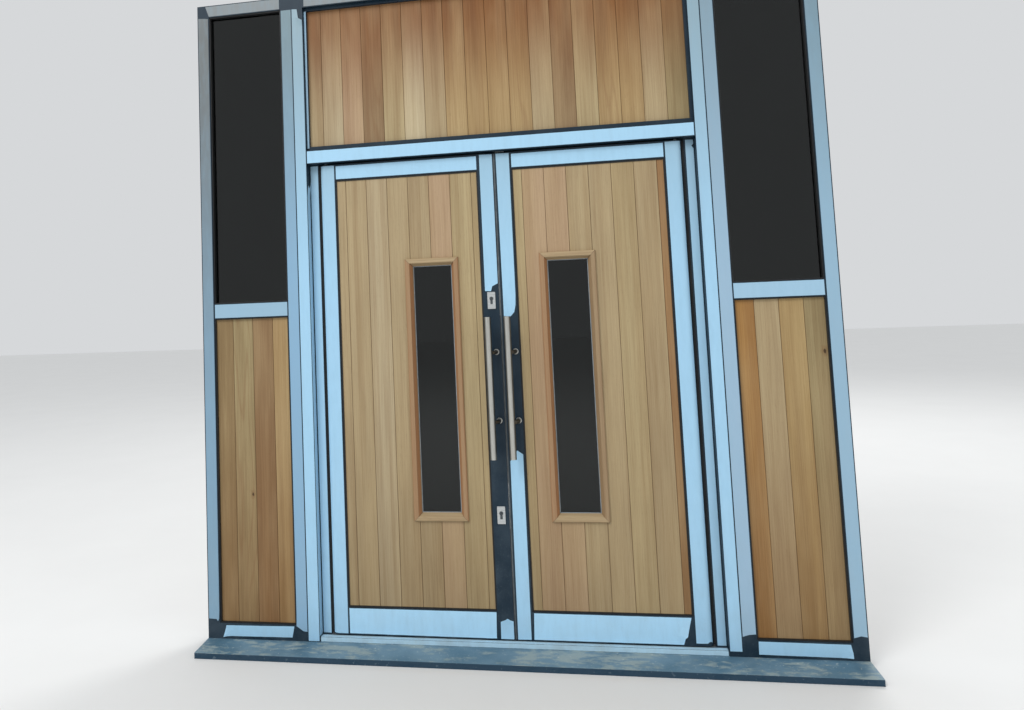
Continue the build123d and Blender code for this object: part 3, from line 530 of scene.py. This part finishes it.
def dark_glass():
    """Glass whose dark colour is painted shade for the dark room behind it, with faint streaks of
    cleaning.
    """
    made, tree, shader, where = new_material("dark_glass")
    streaks = place(tree, fine_grain, Vector=where, Scale=14.0, Stretch=(1.0, 1.0, 0.3))
    # The dark base colour is painted shade, standing in for the dark room behind the glass
    tint = stain(tree, colour("#343C3A"), streaks["Blotch"], "#404947")
    wire(tree, shader.inputs["Base Color"], tint)
    wire(tree, shader.inputs["Roughness"], spread(tree, streaks["Lines"], 0.45, 0.8, 0.01, 0.09))
    shader.inputs["IOR"].default_value = 1.45
    shader.inputs["Transmission Weight"].default_value = 1.0
    shader.inputs["Specular IOR Level"].default_value = 0.16
    return made


def rubbed_metal(name, light, dark, stretch, rough, scale=700.0, metallic=1.0, edge=0.0,
                 post_shade=None):
    """Metal rubbed in one direction. Edge paints shade on what turns away, standing in for the
    darker reflections at the sides of a round bar. The post colour is painted shade on the posts of
    a pull handle, which are of the same steel as the bar."""
    made, tree, shader, where = new_material(name)
    grain = place(tree, fine_grain, Vector=where, Scale=scale, Stretch=stretch)
    lines = grain["Lines"]
    base = stain(tree, colour(dark), spread(tree, lines, 0.25, 0.75), light)
    if edge:
        turned = tree.nodes.new("ShaderNodeLayerWeight")
        turned.inputs["Blend"].default_value = 0.5
        # Painted shade towards the sides of a round bar, standing in for the darker reflections
        # there
        painted_rim_shade = spread(tree, turned.outputs["Facing"], 0.03, 0.34, 0.0, edge)
        base = stain(tree, base, painted_rim_shade, "#4E5456")
    if post_shade:
        # Painted shade on the posts of the pull handles
        away = apart(tree, split(tree, where)[1], LEAF_MIDDLE)
        on_post = times(tree, calc(tree, "GREATER_THAN", away, POST_NEAR),
                        calc(tree, "LESS_THAN", away, POST_FAR))
        base = stain(tree, base, times(tree, on_post, 0.85), post_shade)
    base = stain(tree, base, spread(tree, grain["Blotch"], 0.3, 0.8, 0.0, 0.3), dark)
    shader.inputs["Metallic"].default_value = metallic
    dress(tree, shader, base, spread(tree, lines, 0.2, 0.8, rough, rough + 0.14),
          (lines, 0.12, 0.0002))
    return made


def soft_black(name, dark, light, scale, rough, stretch=(1.0, 1.0, 1.0), depth=0.0004):
    """Rubber, seals and brush pile."""
    made, tree, shader, where = new_material(name)
    grain = place(tree, fine_grain, Vector=where, Scale=scale, Stretch=stretch)
    base = stain(tree, colour(dark), spread(tree, grain["Lines"], 0.35, 0.8), light)
    dress(tree, shader, base, spread(tree, grain["Blotch"], 0.3, 0.7, rough, rough + 0.15),
          (grain["Lines"], 0.3, depth))
    return made


def sawn_board():
    """Backing board behind the facing boards."""
    made, tree, shader, where = new_material("sawn_core")
    figure = place(tree, wood_figure, Vector=where, Width=16.0)
    base = stain(tree, colour("#B89A72"), figure["Fibre"], "#8E7048")
    base = stain(tree, base, times(tree, figure["Growth"], 0.5), "#6F5334")
    dress(tree, shader, base, spread(tree, figure["Fibre"], 0.2, 0.8, 0.7, 0.85),
          (figure["Height"], 0.4, 0.0008))
    return made


# Boards from left to right, and where each panel turns darker: towards the bottom of the leaves and
# # side panels, and towards the top of the over panel, where it is painted shade under the soffit
LEFT_LEAF_BOARDS = "tan tan pale tan tan pink straw straw".split()
RIGHT_LEAF_BOARDS = "straw pink pink tan tan straw tan rust".split()
LEFT_SIDE_BOARDS = "umber olive brown honey".split()
RIGHT_SIDE_BOARDS = "amber tan gold olive".split()
OVER_BOARDS = ("tan pale pink dark straw cream tan honey honey honey honey tan dark straw honey "
               "honey tan olive tan tan").split()
LEFT_LEAF_DEEPER = [(1.3, 0.1, 0.45, "#7D6644")]
RIGHT_LEAF_DEEPER = [(1.3, 0.1, 0.30, "#7D6644")]
SIDE_DEEPER = [(1.3, 0.1, 0.55, "#7A5227")]
# Painted shade under the soffit, darker and browner towards the top of the over panel
OVER_SOFFIT_SHADE = [(2.3, 2.92, 0.9, "#7C4614")]
SIDE_KNOTS = [(-1.175, 0.672, 0.006), (1.324, 1.254, 0.007)]

# Directions that a grain is drawn out in
EVEN = (1.0, 1.0, 1.0)
UPRIGHT = (1.0, 1.0, 0.02)
SOFT_UPRIGHT = (1.0, 1.0, 0.2)

# Finishes of the nodes
coat = powder_coat("dark_coat", "#0A2434")
threshold_coat = powder_coat("threshold_coat", "#1F3342", veil=0.4, high=0.3)
sill_coat = trodden_sill()
left_leaf_timber = timber("left_leaf_timber", LEFT_LEAF_JOINT, -7, LEFT_LEAF_BOARDS, 3.0,
                          deeper=LEFT_LEAF_DEEPER)
right_leaf_timber = timber("right_leaf_timber", RIGHT_LEAF_JOINT, -1, RIGHT_LEAF_BOARDS, 11.0,
                           deeper=RIGHT_LEAF_DEEPER)
side_timber = timber("side_timber", -SIDE_JOINT, -3, LEFT_SIDE_BOARDS, 21.0, SIDE_KNOTS,
                     SIDE_DEEPER, 0.2, right=(SIDE_JOINT, -1, RIGHT_SIDE_BOARDS))
over_timber = timber("over_timber", OVER_JOINT, -1, OVER_BOARDS, 41.0, deeper=OVER_SOFFIT_SHADE,
                     flames=0.35)
left_bead_timber = bead_timber("left_bead_timber", -1, "#B49F7C", "#A28A68", 0.85, 0.85)
right_bead_timber = bead_timber("right_bead_timber", 1, "#B6A17E", "#A48C6A", 0.95, 0.15)
core_wood = sawn_board()
glass = dark_glass()
rubber = soft_black("black_rubber", "#0C0D0E", "#1B1D1F", 160.0, 0.55)
grey_seal = soft_black("grey_seal", "#4E5558", "#686F72", 120.0, 0.6, (1.0, 1.0, 0.3))
brush_pile = soft_black("brush_pile", "#0E0F10", "#303335", 900.0, 0.8, (1.0, 0.1, 1.0), 0.001)
spacer_grey = rubbed_metal("spacer_grey", "#9DA2A4", "#777D80", SOFT_UPRIGHT, 0.45, 400.0, 0.6)
bright_steel = rubbed_metal("satin_steel", "#E6EAEA", "#C4C9C9", UPRIGHT, 0.26, edge=0.8)
handle_steel = rubbed_metal("handle_steel", "#D8D7D0", "#B2B1AA", UPRIGHT, 0.28, edge=0.85,
                            post_shade="#3C454B")
plate_steel = rubbed_metal("plate_steel", "#E0E2E2", "#B9BCBC", (0.03, 1.0, 1.0), 0.3)
cylinder_metal = rubbed_metal("dull_nickel", "#6E7376", "#4A4F52", EVEN, 0.35, 500.0)
cast_metal = rubbed_metal("closer_grey", "#8B8F91", "#666A6C", EVEN, 0.5, 240.0, 0.7)

FINISHES = [
    (coat, "left_outer_jamb right_outer_jamb left_inner_jamb right_inner_jamb side_rails "
           "left_mullion right_mullion transom over_head door_jambs inner_beads over_beads"),
    (sill_coat, "sill"),
    (threshold_coat, "threshold"),
    (glass, "side_panes"),
    (spacer_grey, "side_spacers"),
    (side_timber, "lower_boards"),
    (over_timber, "over_boards"),
    (core_wood, "panel_cores"),
    (rubber, "fixed_gaskets"),
    (grey_seal, "meeting_seal"),
    (brush_pile, "frame_brushes"),
    (cast_metal, "transom_closers floor_pivots flush_bolt_guides"),
    (plate_steel, "bolt_keeps lock_cases escutcheons strikes lower_bolt upper_bolt"),
    (cylinder_metal, "lock_cylinders lower_turn upper_turn"),
    (bright_steel, "top_flush_bolt bottom_flush_bolt"),
    (left_leaf_timber, "left_leaf_boards"),
    (right_leaf_timber, "right_leaf_boards"),
    (left_bead_timber, "left_vision_beads"),
    (right_bead_timber, "right_vision_beads"),
]
LEAF_FINISHES = [
    (coat, "hinge_stile meeting_stile top_rail bottom_rail"),
    (core_wood, "leaf_core"),
    (rubber, "leaf_gaskets"),
    (glass, "vision_panes"),
    (spacer_grey, "vision_spacer"),
    (handle_steel, "pull_handles"),
    (cast_metal, "pivot_shoes"),
]
material_of = {part: material for material, parts in FINISHES for part in parts.split()}
for material, parts in LEAF_FINISHES:
    for part in parts.split():
        material_of[f"left_{part}"] = material_of[f"right_{part}"] = material

for name, cad in nodes.items():
    cad.data.materials.clear()
    cad.data.materials.append(material_of[name])

# Film as it looks in different light and at different heights: lit and shaded copies of one film,
# # whose colours are painted light and painted shade
film_bright = protective_film("film_bright", "#A4CFEA", "#8CA3AD")
film_shade = protective_film("film_shade", "#88AECA", "#74888F")
film_lavender = protective_film("film_lavender", "#9BB9CF", "#8299A6")
# Painted shade: the film of the left outer jamb, dimmer and greyer towards the top
film_deep_shade = protective_film("film_deep_shade", "#7F9FB5", "#6F7475", change=(0.8, 2.8))
film_level = protective_film("film_level", "#A6D0EA", "#A6D0EA")
film_foot = protective_film("film_foot", "#AFDBF6", "#AFDBF6")
film_mid = protective_film("film_mid", "#A0C4DB", "#A0C4DB")
# Painted shade: the film on the left mid rail and the right outer jamb, dimmer than in the light
film_half_shade = protective_film("film_half_shade", "#95B6CB", "#768F9B")
# Painted shade under the soffit: the film on the heads
film_soffit_shade = protective_film("film_soffit_shade", "#7F8587", "#7F8587")
film_low = protective_film("film_low", "#B6D8EA", "#B6D8EA", dirt=0.4)
tape_grey = rubbed_metal("tape_grey", "#A0A9AF", "#7F898F", SOFT_UPRIGHT, 0.5, 300.0, 0.0)


def link_piece(name, bm, body, material):
    """Makes a mesh piece at the origin, with its finish and the body it moves with."""
    mesh = bpy.data.meshes.new(name)
    bm.to_mesh(mesh)
    bm.free()
    mesh.materials.append(material)
    piece = bpy.data.objects.new(name, mesh)
    bpy.context.scene.collection.objects.link(piece)
    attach(piece, body)


def sliced(bm, axis, low, high, step):
    """Cuts every face at regular places along one axis, and leaves no sliver at the end."""
    cut = low + step
    normal = [0.0, 0.0, 0.0]
    normal[axis] = 1.0
    while cut < high - step * LAST_SLICE:
        point = [0.0, 0.0, 0.0]
        point[axis] = cut * MM
        everything = bm.verts[:] + bm.edges[:] + bm.faces[:]
        bmesh.ops.bisect_plane(bm, geom=everything, plane_co=point, plane_no=normal)
        cut += step


def face_towards(bm, way):
    """Turns the faces of a sheet to look one way, by the first of them."""
    bmesh.ops.recalc_face_normals(bm, faces=bm.faces[:])
    if bm.faces[:][0].normal.dot(way) < 0:
        bmesh.ops.reverse_faces(bm, faces=bm.faces[:])


def ripple_at(spot):
    """An even ripple, between 0 and 1."""
    return noise.noise(spot * WAVE_SCALE) * 0.5 + 0.5


def film_piece(name, bm, body, material):
    """Gives a sheet of film its thickness and makes it a piece."""
    bmesh.ops.solidify(bm, geom=bm.faces[:], thickness=FILM_THICK * MM)
    link_piece(name, bm, body, material)


def film(name, body, face, outline, material=film_bright, curls=(), turned=False):
    """A sheet of film on a face. Its outline is in x and z, or in y and z on a return that faces
    across. A curl lifts what lies within its reach of a point, by the height that it gives."""
    bm = bmesh.new()
    lift = face - FILM_LIFT - FILM_THICK
    if turned:
        corners = [bm.verts.new(Vector((face, p, z)) * MM) for p, z in outline]
        wanted = Vector((1.0 if face < 0 else -1.0, 0.0, 0.0))
    else:
        corners = [bm.verts.new(Vector((p, lift, z)) * MM) for p, z in outline]
        wanted = Vector((0.0, -1.0, 0.0))
    bm.faces.new(corners)
    wide, tall = [[p[i] for p in outline] for i in (0, 1)]
    width, height = max(wide) - min(wide), max(tall) - min(tall)
    sliced(bm, 1 if turned else 0, min(wide), max(wide), min(FILM_SLICE, width / 3))
    sliced(bm, 2, min(tall), max(tall), min(FILM_SLICE * 2, height / 3))
    bmesh.ops.remove_doubles(bm, verts=bm.verts[:], dist=SAME_SPOT * MM)
    face_towards(bm, wanted)
    for vert in bm.verts:
        spot = vert.co * WAVE_SCALE
        wave = (noise.noise(spot) + 0.5 * noise.noise(spot * FINE_WAVE)) * 0.5 + 0.5
        out = max(0.0, wave) * FILM_RIPPLE
        for curl_x, curl_z, rise in curls:
            away = math.hypot(vert.co.x / MM - curl_x, vert.co.z / MM - curl_z)
            near = max(0.0, 1.0 - away / CURL_REACH)
            out += rise * near * near
        vert.co += wanted * out * MM
        if vert.is_boundary:
            vert.co.z += noise.noise(spot * EDGE_WAVE) * EDGE_RIPPLE * MM
    film_piece(name, bm, body, material)


def band(x0, x1, z0, z1):
    """The outline of a plain strip."""
    return [(x0, z0), (x1, z0), (x1, z1), (x0, z1)]


def level_film(name, body, height, outline, material):
    """A sheet of film that lies on a level face. Its outline is in x and y."""
    bm = bmesh.new()
    lift = height + FILM_LIFT + FILM_THICK
    bm.faces.new([bm.verts.new(Vector((p, q, lift)) * MM) for p, q in outline])
    sliced(bm, 0, min(p for p, q in outline), max(p for p, q in outline), FILM_SLICE)
    face_towards(bm, Vector((0.0, 0.0, 1.0)))
    for vert in bm.verts:
        vert.co.z += ripple_at(vert.co) * EVEN_RIPPLE * MM
    film_piece(name, bm, body, material)


def wrapped_film(name, body, side, foot):
    """Film on a hinge stile, which follows the round edge of the stile. Foot is how high its torn
    lower edge rises."""
    low, high = STILE_FILM_Z
    flat_from, flat_to = STILE_FLAT
    cx, cy = STILE_AXIS
    radius = STILE_RADIUS + FILM_LIFT + FILM_THICK
    bm = bmesh.new()
    section = [(x, LEAF_FACE - FILM_LIFT - FILM_THICK) for x in STILE_FLAT]
    for degrees in range(0, STILE_TURN + 1, STILE_STEP):
        turn = math.radians(degrees)
        section.append((cx + radius * math.sin(turn), cy - radius * math.cos(turn)))
    row = [bm.verts.new(Vector((side * x, y, low)) * MM) for x, y in section]
    edges = [bm.edges.new((a, b)) for a, b in zip(row, row[1:])]
    made = bmesh.ops.extrude_edge_only(bm, edges=edges)
    raised = [v for v in made["geom"] if isinstance(v, bmesh.types.BMVert)]
    bmesh.ops.translate(bm, verts=raised, vec=(0.0, 0.0, (high - low) * MM))
    sliced(bm, 2, low, high, FILM_SLICE * 2)
    face_towards(bm, Vector((0.0, -1.0, 0.0)))
    for vert in bm.verts:
        if vert.co.z < (low + 1.0) * MM:
            across = (abs(vert.co.x) / MM - flat_from) / STILE_FILM_WIDTH
            vert.co.z += foot * (0.5 + 0.5 * math.sin(across * TEAR_WAVES)) * MM
        flat = max(0.0, flat_to - abs(vert.co.x) / MM) / (flat_to - flat_from)
        vert.co.y -= ripple_at(vert.co) * flat * EVEN_RIPPLE * MM
    film_piece(name, bm, body, film_bright)


def glazing_tape(body, side):
    """The line of light tape round the vision pane of a leaf."""
    bm = bmesh.new()
    middle_x, middle_z = side * VISION_MIDDLE[0], VISION_MIDDLE[1]
    half_w, half_h = VISION_SIGHT
    outer, inner = [[bm.verts.new(Vector((middle_x + u * (half_w - inset),
                                          VISION_GLASS_FACE - FILM_LIFT,
                                          middle_z + v * (half_h - inset))) * MM)
                     for u, v in ((-1, -1), (1, -1), (1, 1), (-1, 1))] for inset in TAPE_INSETS]
    for i in range(4):
        j = (i + 1) % 4
        bm.faces.new((outer[i], outer[j], inner[j], inner[i]))
    bm.normal_update()
    if bm.faces[:][0].normal.y > 0:
        bmesh.ops.reverse_faces(bm, faces=bm.faces[:])
    bm.normal_update()
    bmesh.ops.solidify(bm, geom=bm.faces[:], thickness=-FILM_THICK * MM)
    bmesh.ops.recalc_face_normals(bm, faces=bm.faces[:])
    link_piece(f"{body}_glazing_tape", bm, body, tape_grey)


# Film on the fixed frame, with torn and lifted corners
film("film_left_outer_jamb", "frame", FRAME_FACE,
     [(-1396, 117), (-1358, 116), (-1350, 108), (-1346, 118), (-1346, 2930), (-1362, 2933),
      (-1396, 2936)], film_deep_shade, curls=[(-1350, 108, 5.0)])
film("film_left_head", "frame", FRAME_FACE,
     [(-1341, HEAD[0]), (-984, HEAD[0]), (-984, HEAD[1]), (-1359, HEAD[1])], film_soffit_shade)
film("film_left_mid_rail", "frame", FRAME_FACE, band(-1338, -982, *MID_RAIL), film_half_shade)
film("film_left_side_foot", "frame", FRAME_FACE,
     [(-1309, 42), (-998, 45), (-988, 93), (-1312, 89), (-1324, 40)], curls=[(-1324, 40, 9.0)])
film("film_left_inner_jamb", "frame", FRAME_FACE,
     [(-946, 74), (-927, 72), (-927, 2932), (-976, 2932), (-976, 96)], film_shade,
     curls=[(-975, 96, 4.0)])
film("film_left_mullion", "frame", FRAME_FACE,
     [(-922, 33), (-872, 33), (-872, 2876), (-890, 2886), (-897, 2931), (-922, 2933)],
     curls=[(-880, 2884, 6.0)])
film("film_right_mullion", "frame", FRAME_FACE, band(872, 919, 51, 2932))
film("film_right_inner_jamb", "frame", FRAME_FACE,
     [(924, 110), (950, 118), (976, 121), (976, 2932), (924, 2932)], film_lavender)
film("film_right_outer_jamb", "frame", FRAME_FACE,
     [(1346, 118), (1372, 126), (1396, 122), (1396, 2935), (1346, 2931)], film_half_shade)
film("film_right_head", "frame", FRAME_FACE, band(984, 1352, *HEAD))
film("film_right_mid_rail", "frame", FRAME_FACE, band(982, 1338, *MID_RAIL), film_mid)
film("film_right_side_foot", "frame", FRAME_FACE,
     [(983, 42), (1338, 40), (1338, 60), (1332, 92), (984, 93)], curls=[(1338, 42, 7.0)])
film("film_over_head", "frame", FRAME_FACE, band(-862, 862, *HEAD), film_soffit_shade)
film("film_over_bead", "frame", OVER_BEAD_FACE, band(-868, -859, 2262, 2922), film_mid)
film("film_transom", "frame", FRAME_FACE, band(-OPENING, OPENING, 2189, 2245), film_level)
film("film_left_sub_jamb", "frame", SUB_FRAME_FACE, band(-865, -829, 54, 2180))
film("film_right_sub_jamb", "frame", SUB_FRAME_FACE,
     [(831, 54), (866, 54), (866, 2140), (858, 2151), (866, 2160), (866, 2178), (833, 2180)],
     curls=[(862, 2150, 5.0)])
film("film_left_return", "frame", -MULLION_RETURN + FILM_LIFT + FILM_THICK,
     [(-6, 54), (34, 54), (34, 2110), (12, 2072), (-6, 2086)], turned=True,
     curls=[(-870, 2090, 7.0)])
film("film_threshold", "frame", THRESHOLD_FACE, band(-OPENING, OPENING, 30.6, 49.3), film_low)
level_film("film_threshold_top", "frame", THRESHOLD_TOP, band(-OPENING, OPENING, -2.6, 23.0),
           film_low)

# Film on the leaves
wrapped_film("film_left_hinge_stile", "left_leaf", -1, 2)
wrapped_film("film_right_hinge_stile", "right_leaf", 1, 14)
film("film_left_top_rail", "left_leaf", LEAF_FACE,
     band(-LEAF_RAIL[1], -LEAF_RAIL[0], *LEAF_TOP_RAIL), film_level)
film("film_right_top_rail", "right_leaf", LEAF_FACE, band(*LEAF_RAIL, *LEAF_TOP_RAIL), film_level)
film("film_left_bottom_rail", "left_leaf", LEAF_FACE,
     [(-737, 62), (-82, 60), (-79, 170), (-737, 170)], film_foot)
film("film_right_bottom_rail", "right_leaf", LEAF_FACE,
     [(79, 60), (695, 60), (702, 84), (712, 92), (716, 108), (731, 169), (83, 170)], film_foot,
     curls=[(704, 88, 6.0)])
film("film_left_meeting_top", "left_leaf", LEAF_FACE,
     [(-65, 1560), (-38, 1558), (-32, 1580), (-7, 1592), (-7, 2174), (-65, 2175)],
     curls=[(-34, 1562, 6.0)])
film("film_left_meeting_foot", "left_leaf", LEAF_FACE,
     [(-63, 59), (-7, 59), (-7, 134), (-20, 138), (-31, 146), (-43, 138), (-62, 130)],
     curls=[(-31, 146, 5.0)])
film("film_right_meeting_top", "right_leaf", LEAF_FACE,
     [(14, 1446), (44, 1444), (60, 1462), (67, 1493), (69, 1538), (69, 2174), (10, 2175)],
     curls=[(18, 1446, 6.0)])
film("film_right_meeting_foot", "right_leaf", LEAF_FACE,
     [(10, 59), (67, 59), (69, 842), (44, 860), (12, 812)], curls=[(44, 860, 7.0)])

glazing_tape("left_leaf", -1)
glazing_tape("right_leaf", 1)

# Camera at the height and place of a person on the path
CAMERA_PLACE = (0.282, -3.544, 1.500)
CAMERA_TURN = (94.446, 2.253, 10.2564)
SENSOR_WIDTH = 36.0
LENS = 28.05
LENS_SHIFT = (0.0898, -0.1074)

camera_data = bpy.data.cameras.new("door_camera")
camera_data.sensor_width = SENSOR_WIDTH
camera_data.lens = LENS
camera_data.shift_x, camera_data.shift_y = LENS_SHIFT
camera = bpy.data.objects.new("door_camera", camera_data)
camera.location = CAMERA_PLACE
camera.rotation_euler = [math.radians(a) for a in CAMERA_TURN]
bpy.context.scene.collection.objects.link(camera)
bpy.context.scene.camera = camera

# Pale floor, just under the sill
FLOOR_HALF = 30.0
FLOOR_LEVEL = -0.0005

floor_bm = bmesh.new()
bmesh.ops.create_grid(floor_bm, x_segments=1, y_segments=1, size=FLOOR_HALF)
bmesh.ops.translate(floor_bm, verts=floor_bm.verts[:], vec=(0.0, 0.0, FLOOR_LEVEL))
floor_mesh = bpy.data.meshes.new("pale_floor")
floor_bm.to_mesh(floor_mesh)
floor_bm.free()
floor_material, floor_tree, floor_shader, floor_where = new_material("pale_floor")
floor_clouds = cloud(floor_tree, floor_where, 1.5, 4.0, 0.6)
wire(floor_tree, floor_shader.inputs["Base Color"],
     stain(floor_tree, colour("#DCDCDA"), floor_clouds, "#E2E2E0"))
floor_shader.inputs["Roughness"].default_value = 0.8
floor_mesh.materials.append(floor_material)
floor = bpy.data.objects.new("pale_floor", floor_mesh)
bpy.context.scene.collection.objects.link(floor)

# Soft studio light, and a pale background for the camera, for gloss and through the glass
LIT_COLOUR = (0.95, 0.97, 1.0, 1.0)
LIT_STRENGTH = 0.85
SEEN_COLOUR = colour("#D6D8DA")

world = bpy.data.worlds.new("studio")
bpy.context.scene.world = world
world.use_nodes = True
sky = world.node_tree
sky.nodes.clear()
seen_back = sky.nodes.new("ShaderNodeBackground")
seen_back.inputs["Color"].default_value = SEEN_COLOUR
lit_back = sky.nodes.new("ShaderNodeBackground")
lit_back.inputs["Color"].default_value = LIT_COLOUR
lit_back.inputs["Strength"].default_value = LIT_STRENGTH
rays = sky.nodes.new("ShaderNodeLightPath").outputs
through = calc(sky, "MAXIMUM", rays["Is Glossy Ray"], rays["Is Transmission Ray"])
either = sky.nodes.new("ShaderNodeMixShader")
wire(sky, either.inputs[0], calc(sky, "MAXIMUM", rays["Is Camera Ray"], through))
wire(sky, either.inputs[1], lit_back.outputs[0])
wire(sky, either.inputs[2], seen_back.outputs[0])
wire(sky, sky.nodes.new("ShaderNodeOutputWorld").inputs["Surface"], either.outputs[0])

LAMP_AIM = Vector((0.0, 0.0, 1.2))
LAMP_SIZE = 4.0


def soft_lamp(name, spot, power):
    """A round lamp that looks at the middle of the doors."""
    data = bpy.data.lights.new(name, "AREA")
    data.shape = "DISK"
    data.size = LAMP_SIZE
    data.energy = power
    lamp = bpy.data.objects.new(name, data)
    lamp.location = spot
    lamp.rotation_euler = (LAMP_AIM - Vector(spot)).to_track_quat("-Z", "Y").to_euler()
    bpy.context.scene.collection.objects.link(lamp)


soft_lamp("front_lamp", (-3.5, -6.5, 8.5), 420.0)
soft_lamp("back_lamp", (3.0, 6.5, 8.0), 300.0)

bpy.context.scene.view_settings.view_transform = "Standard"
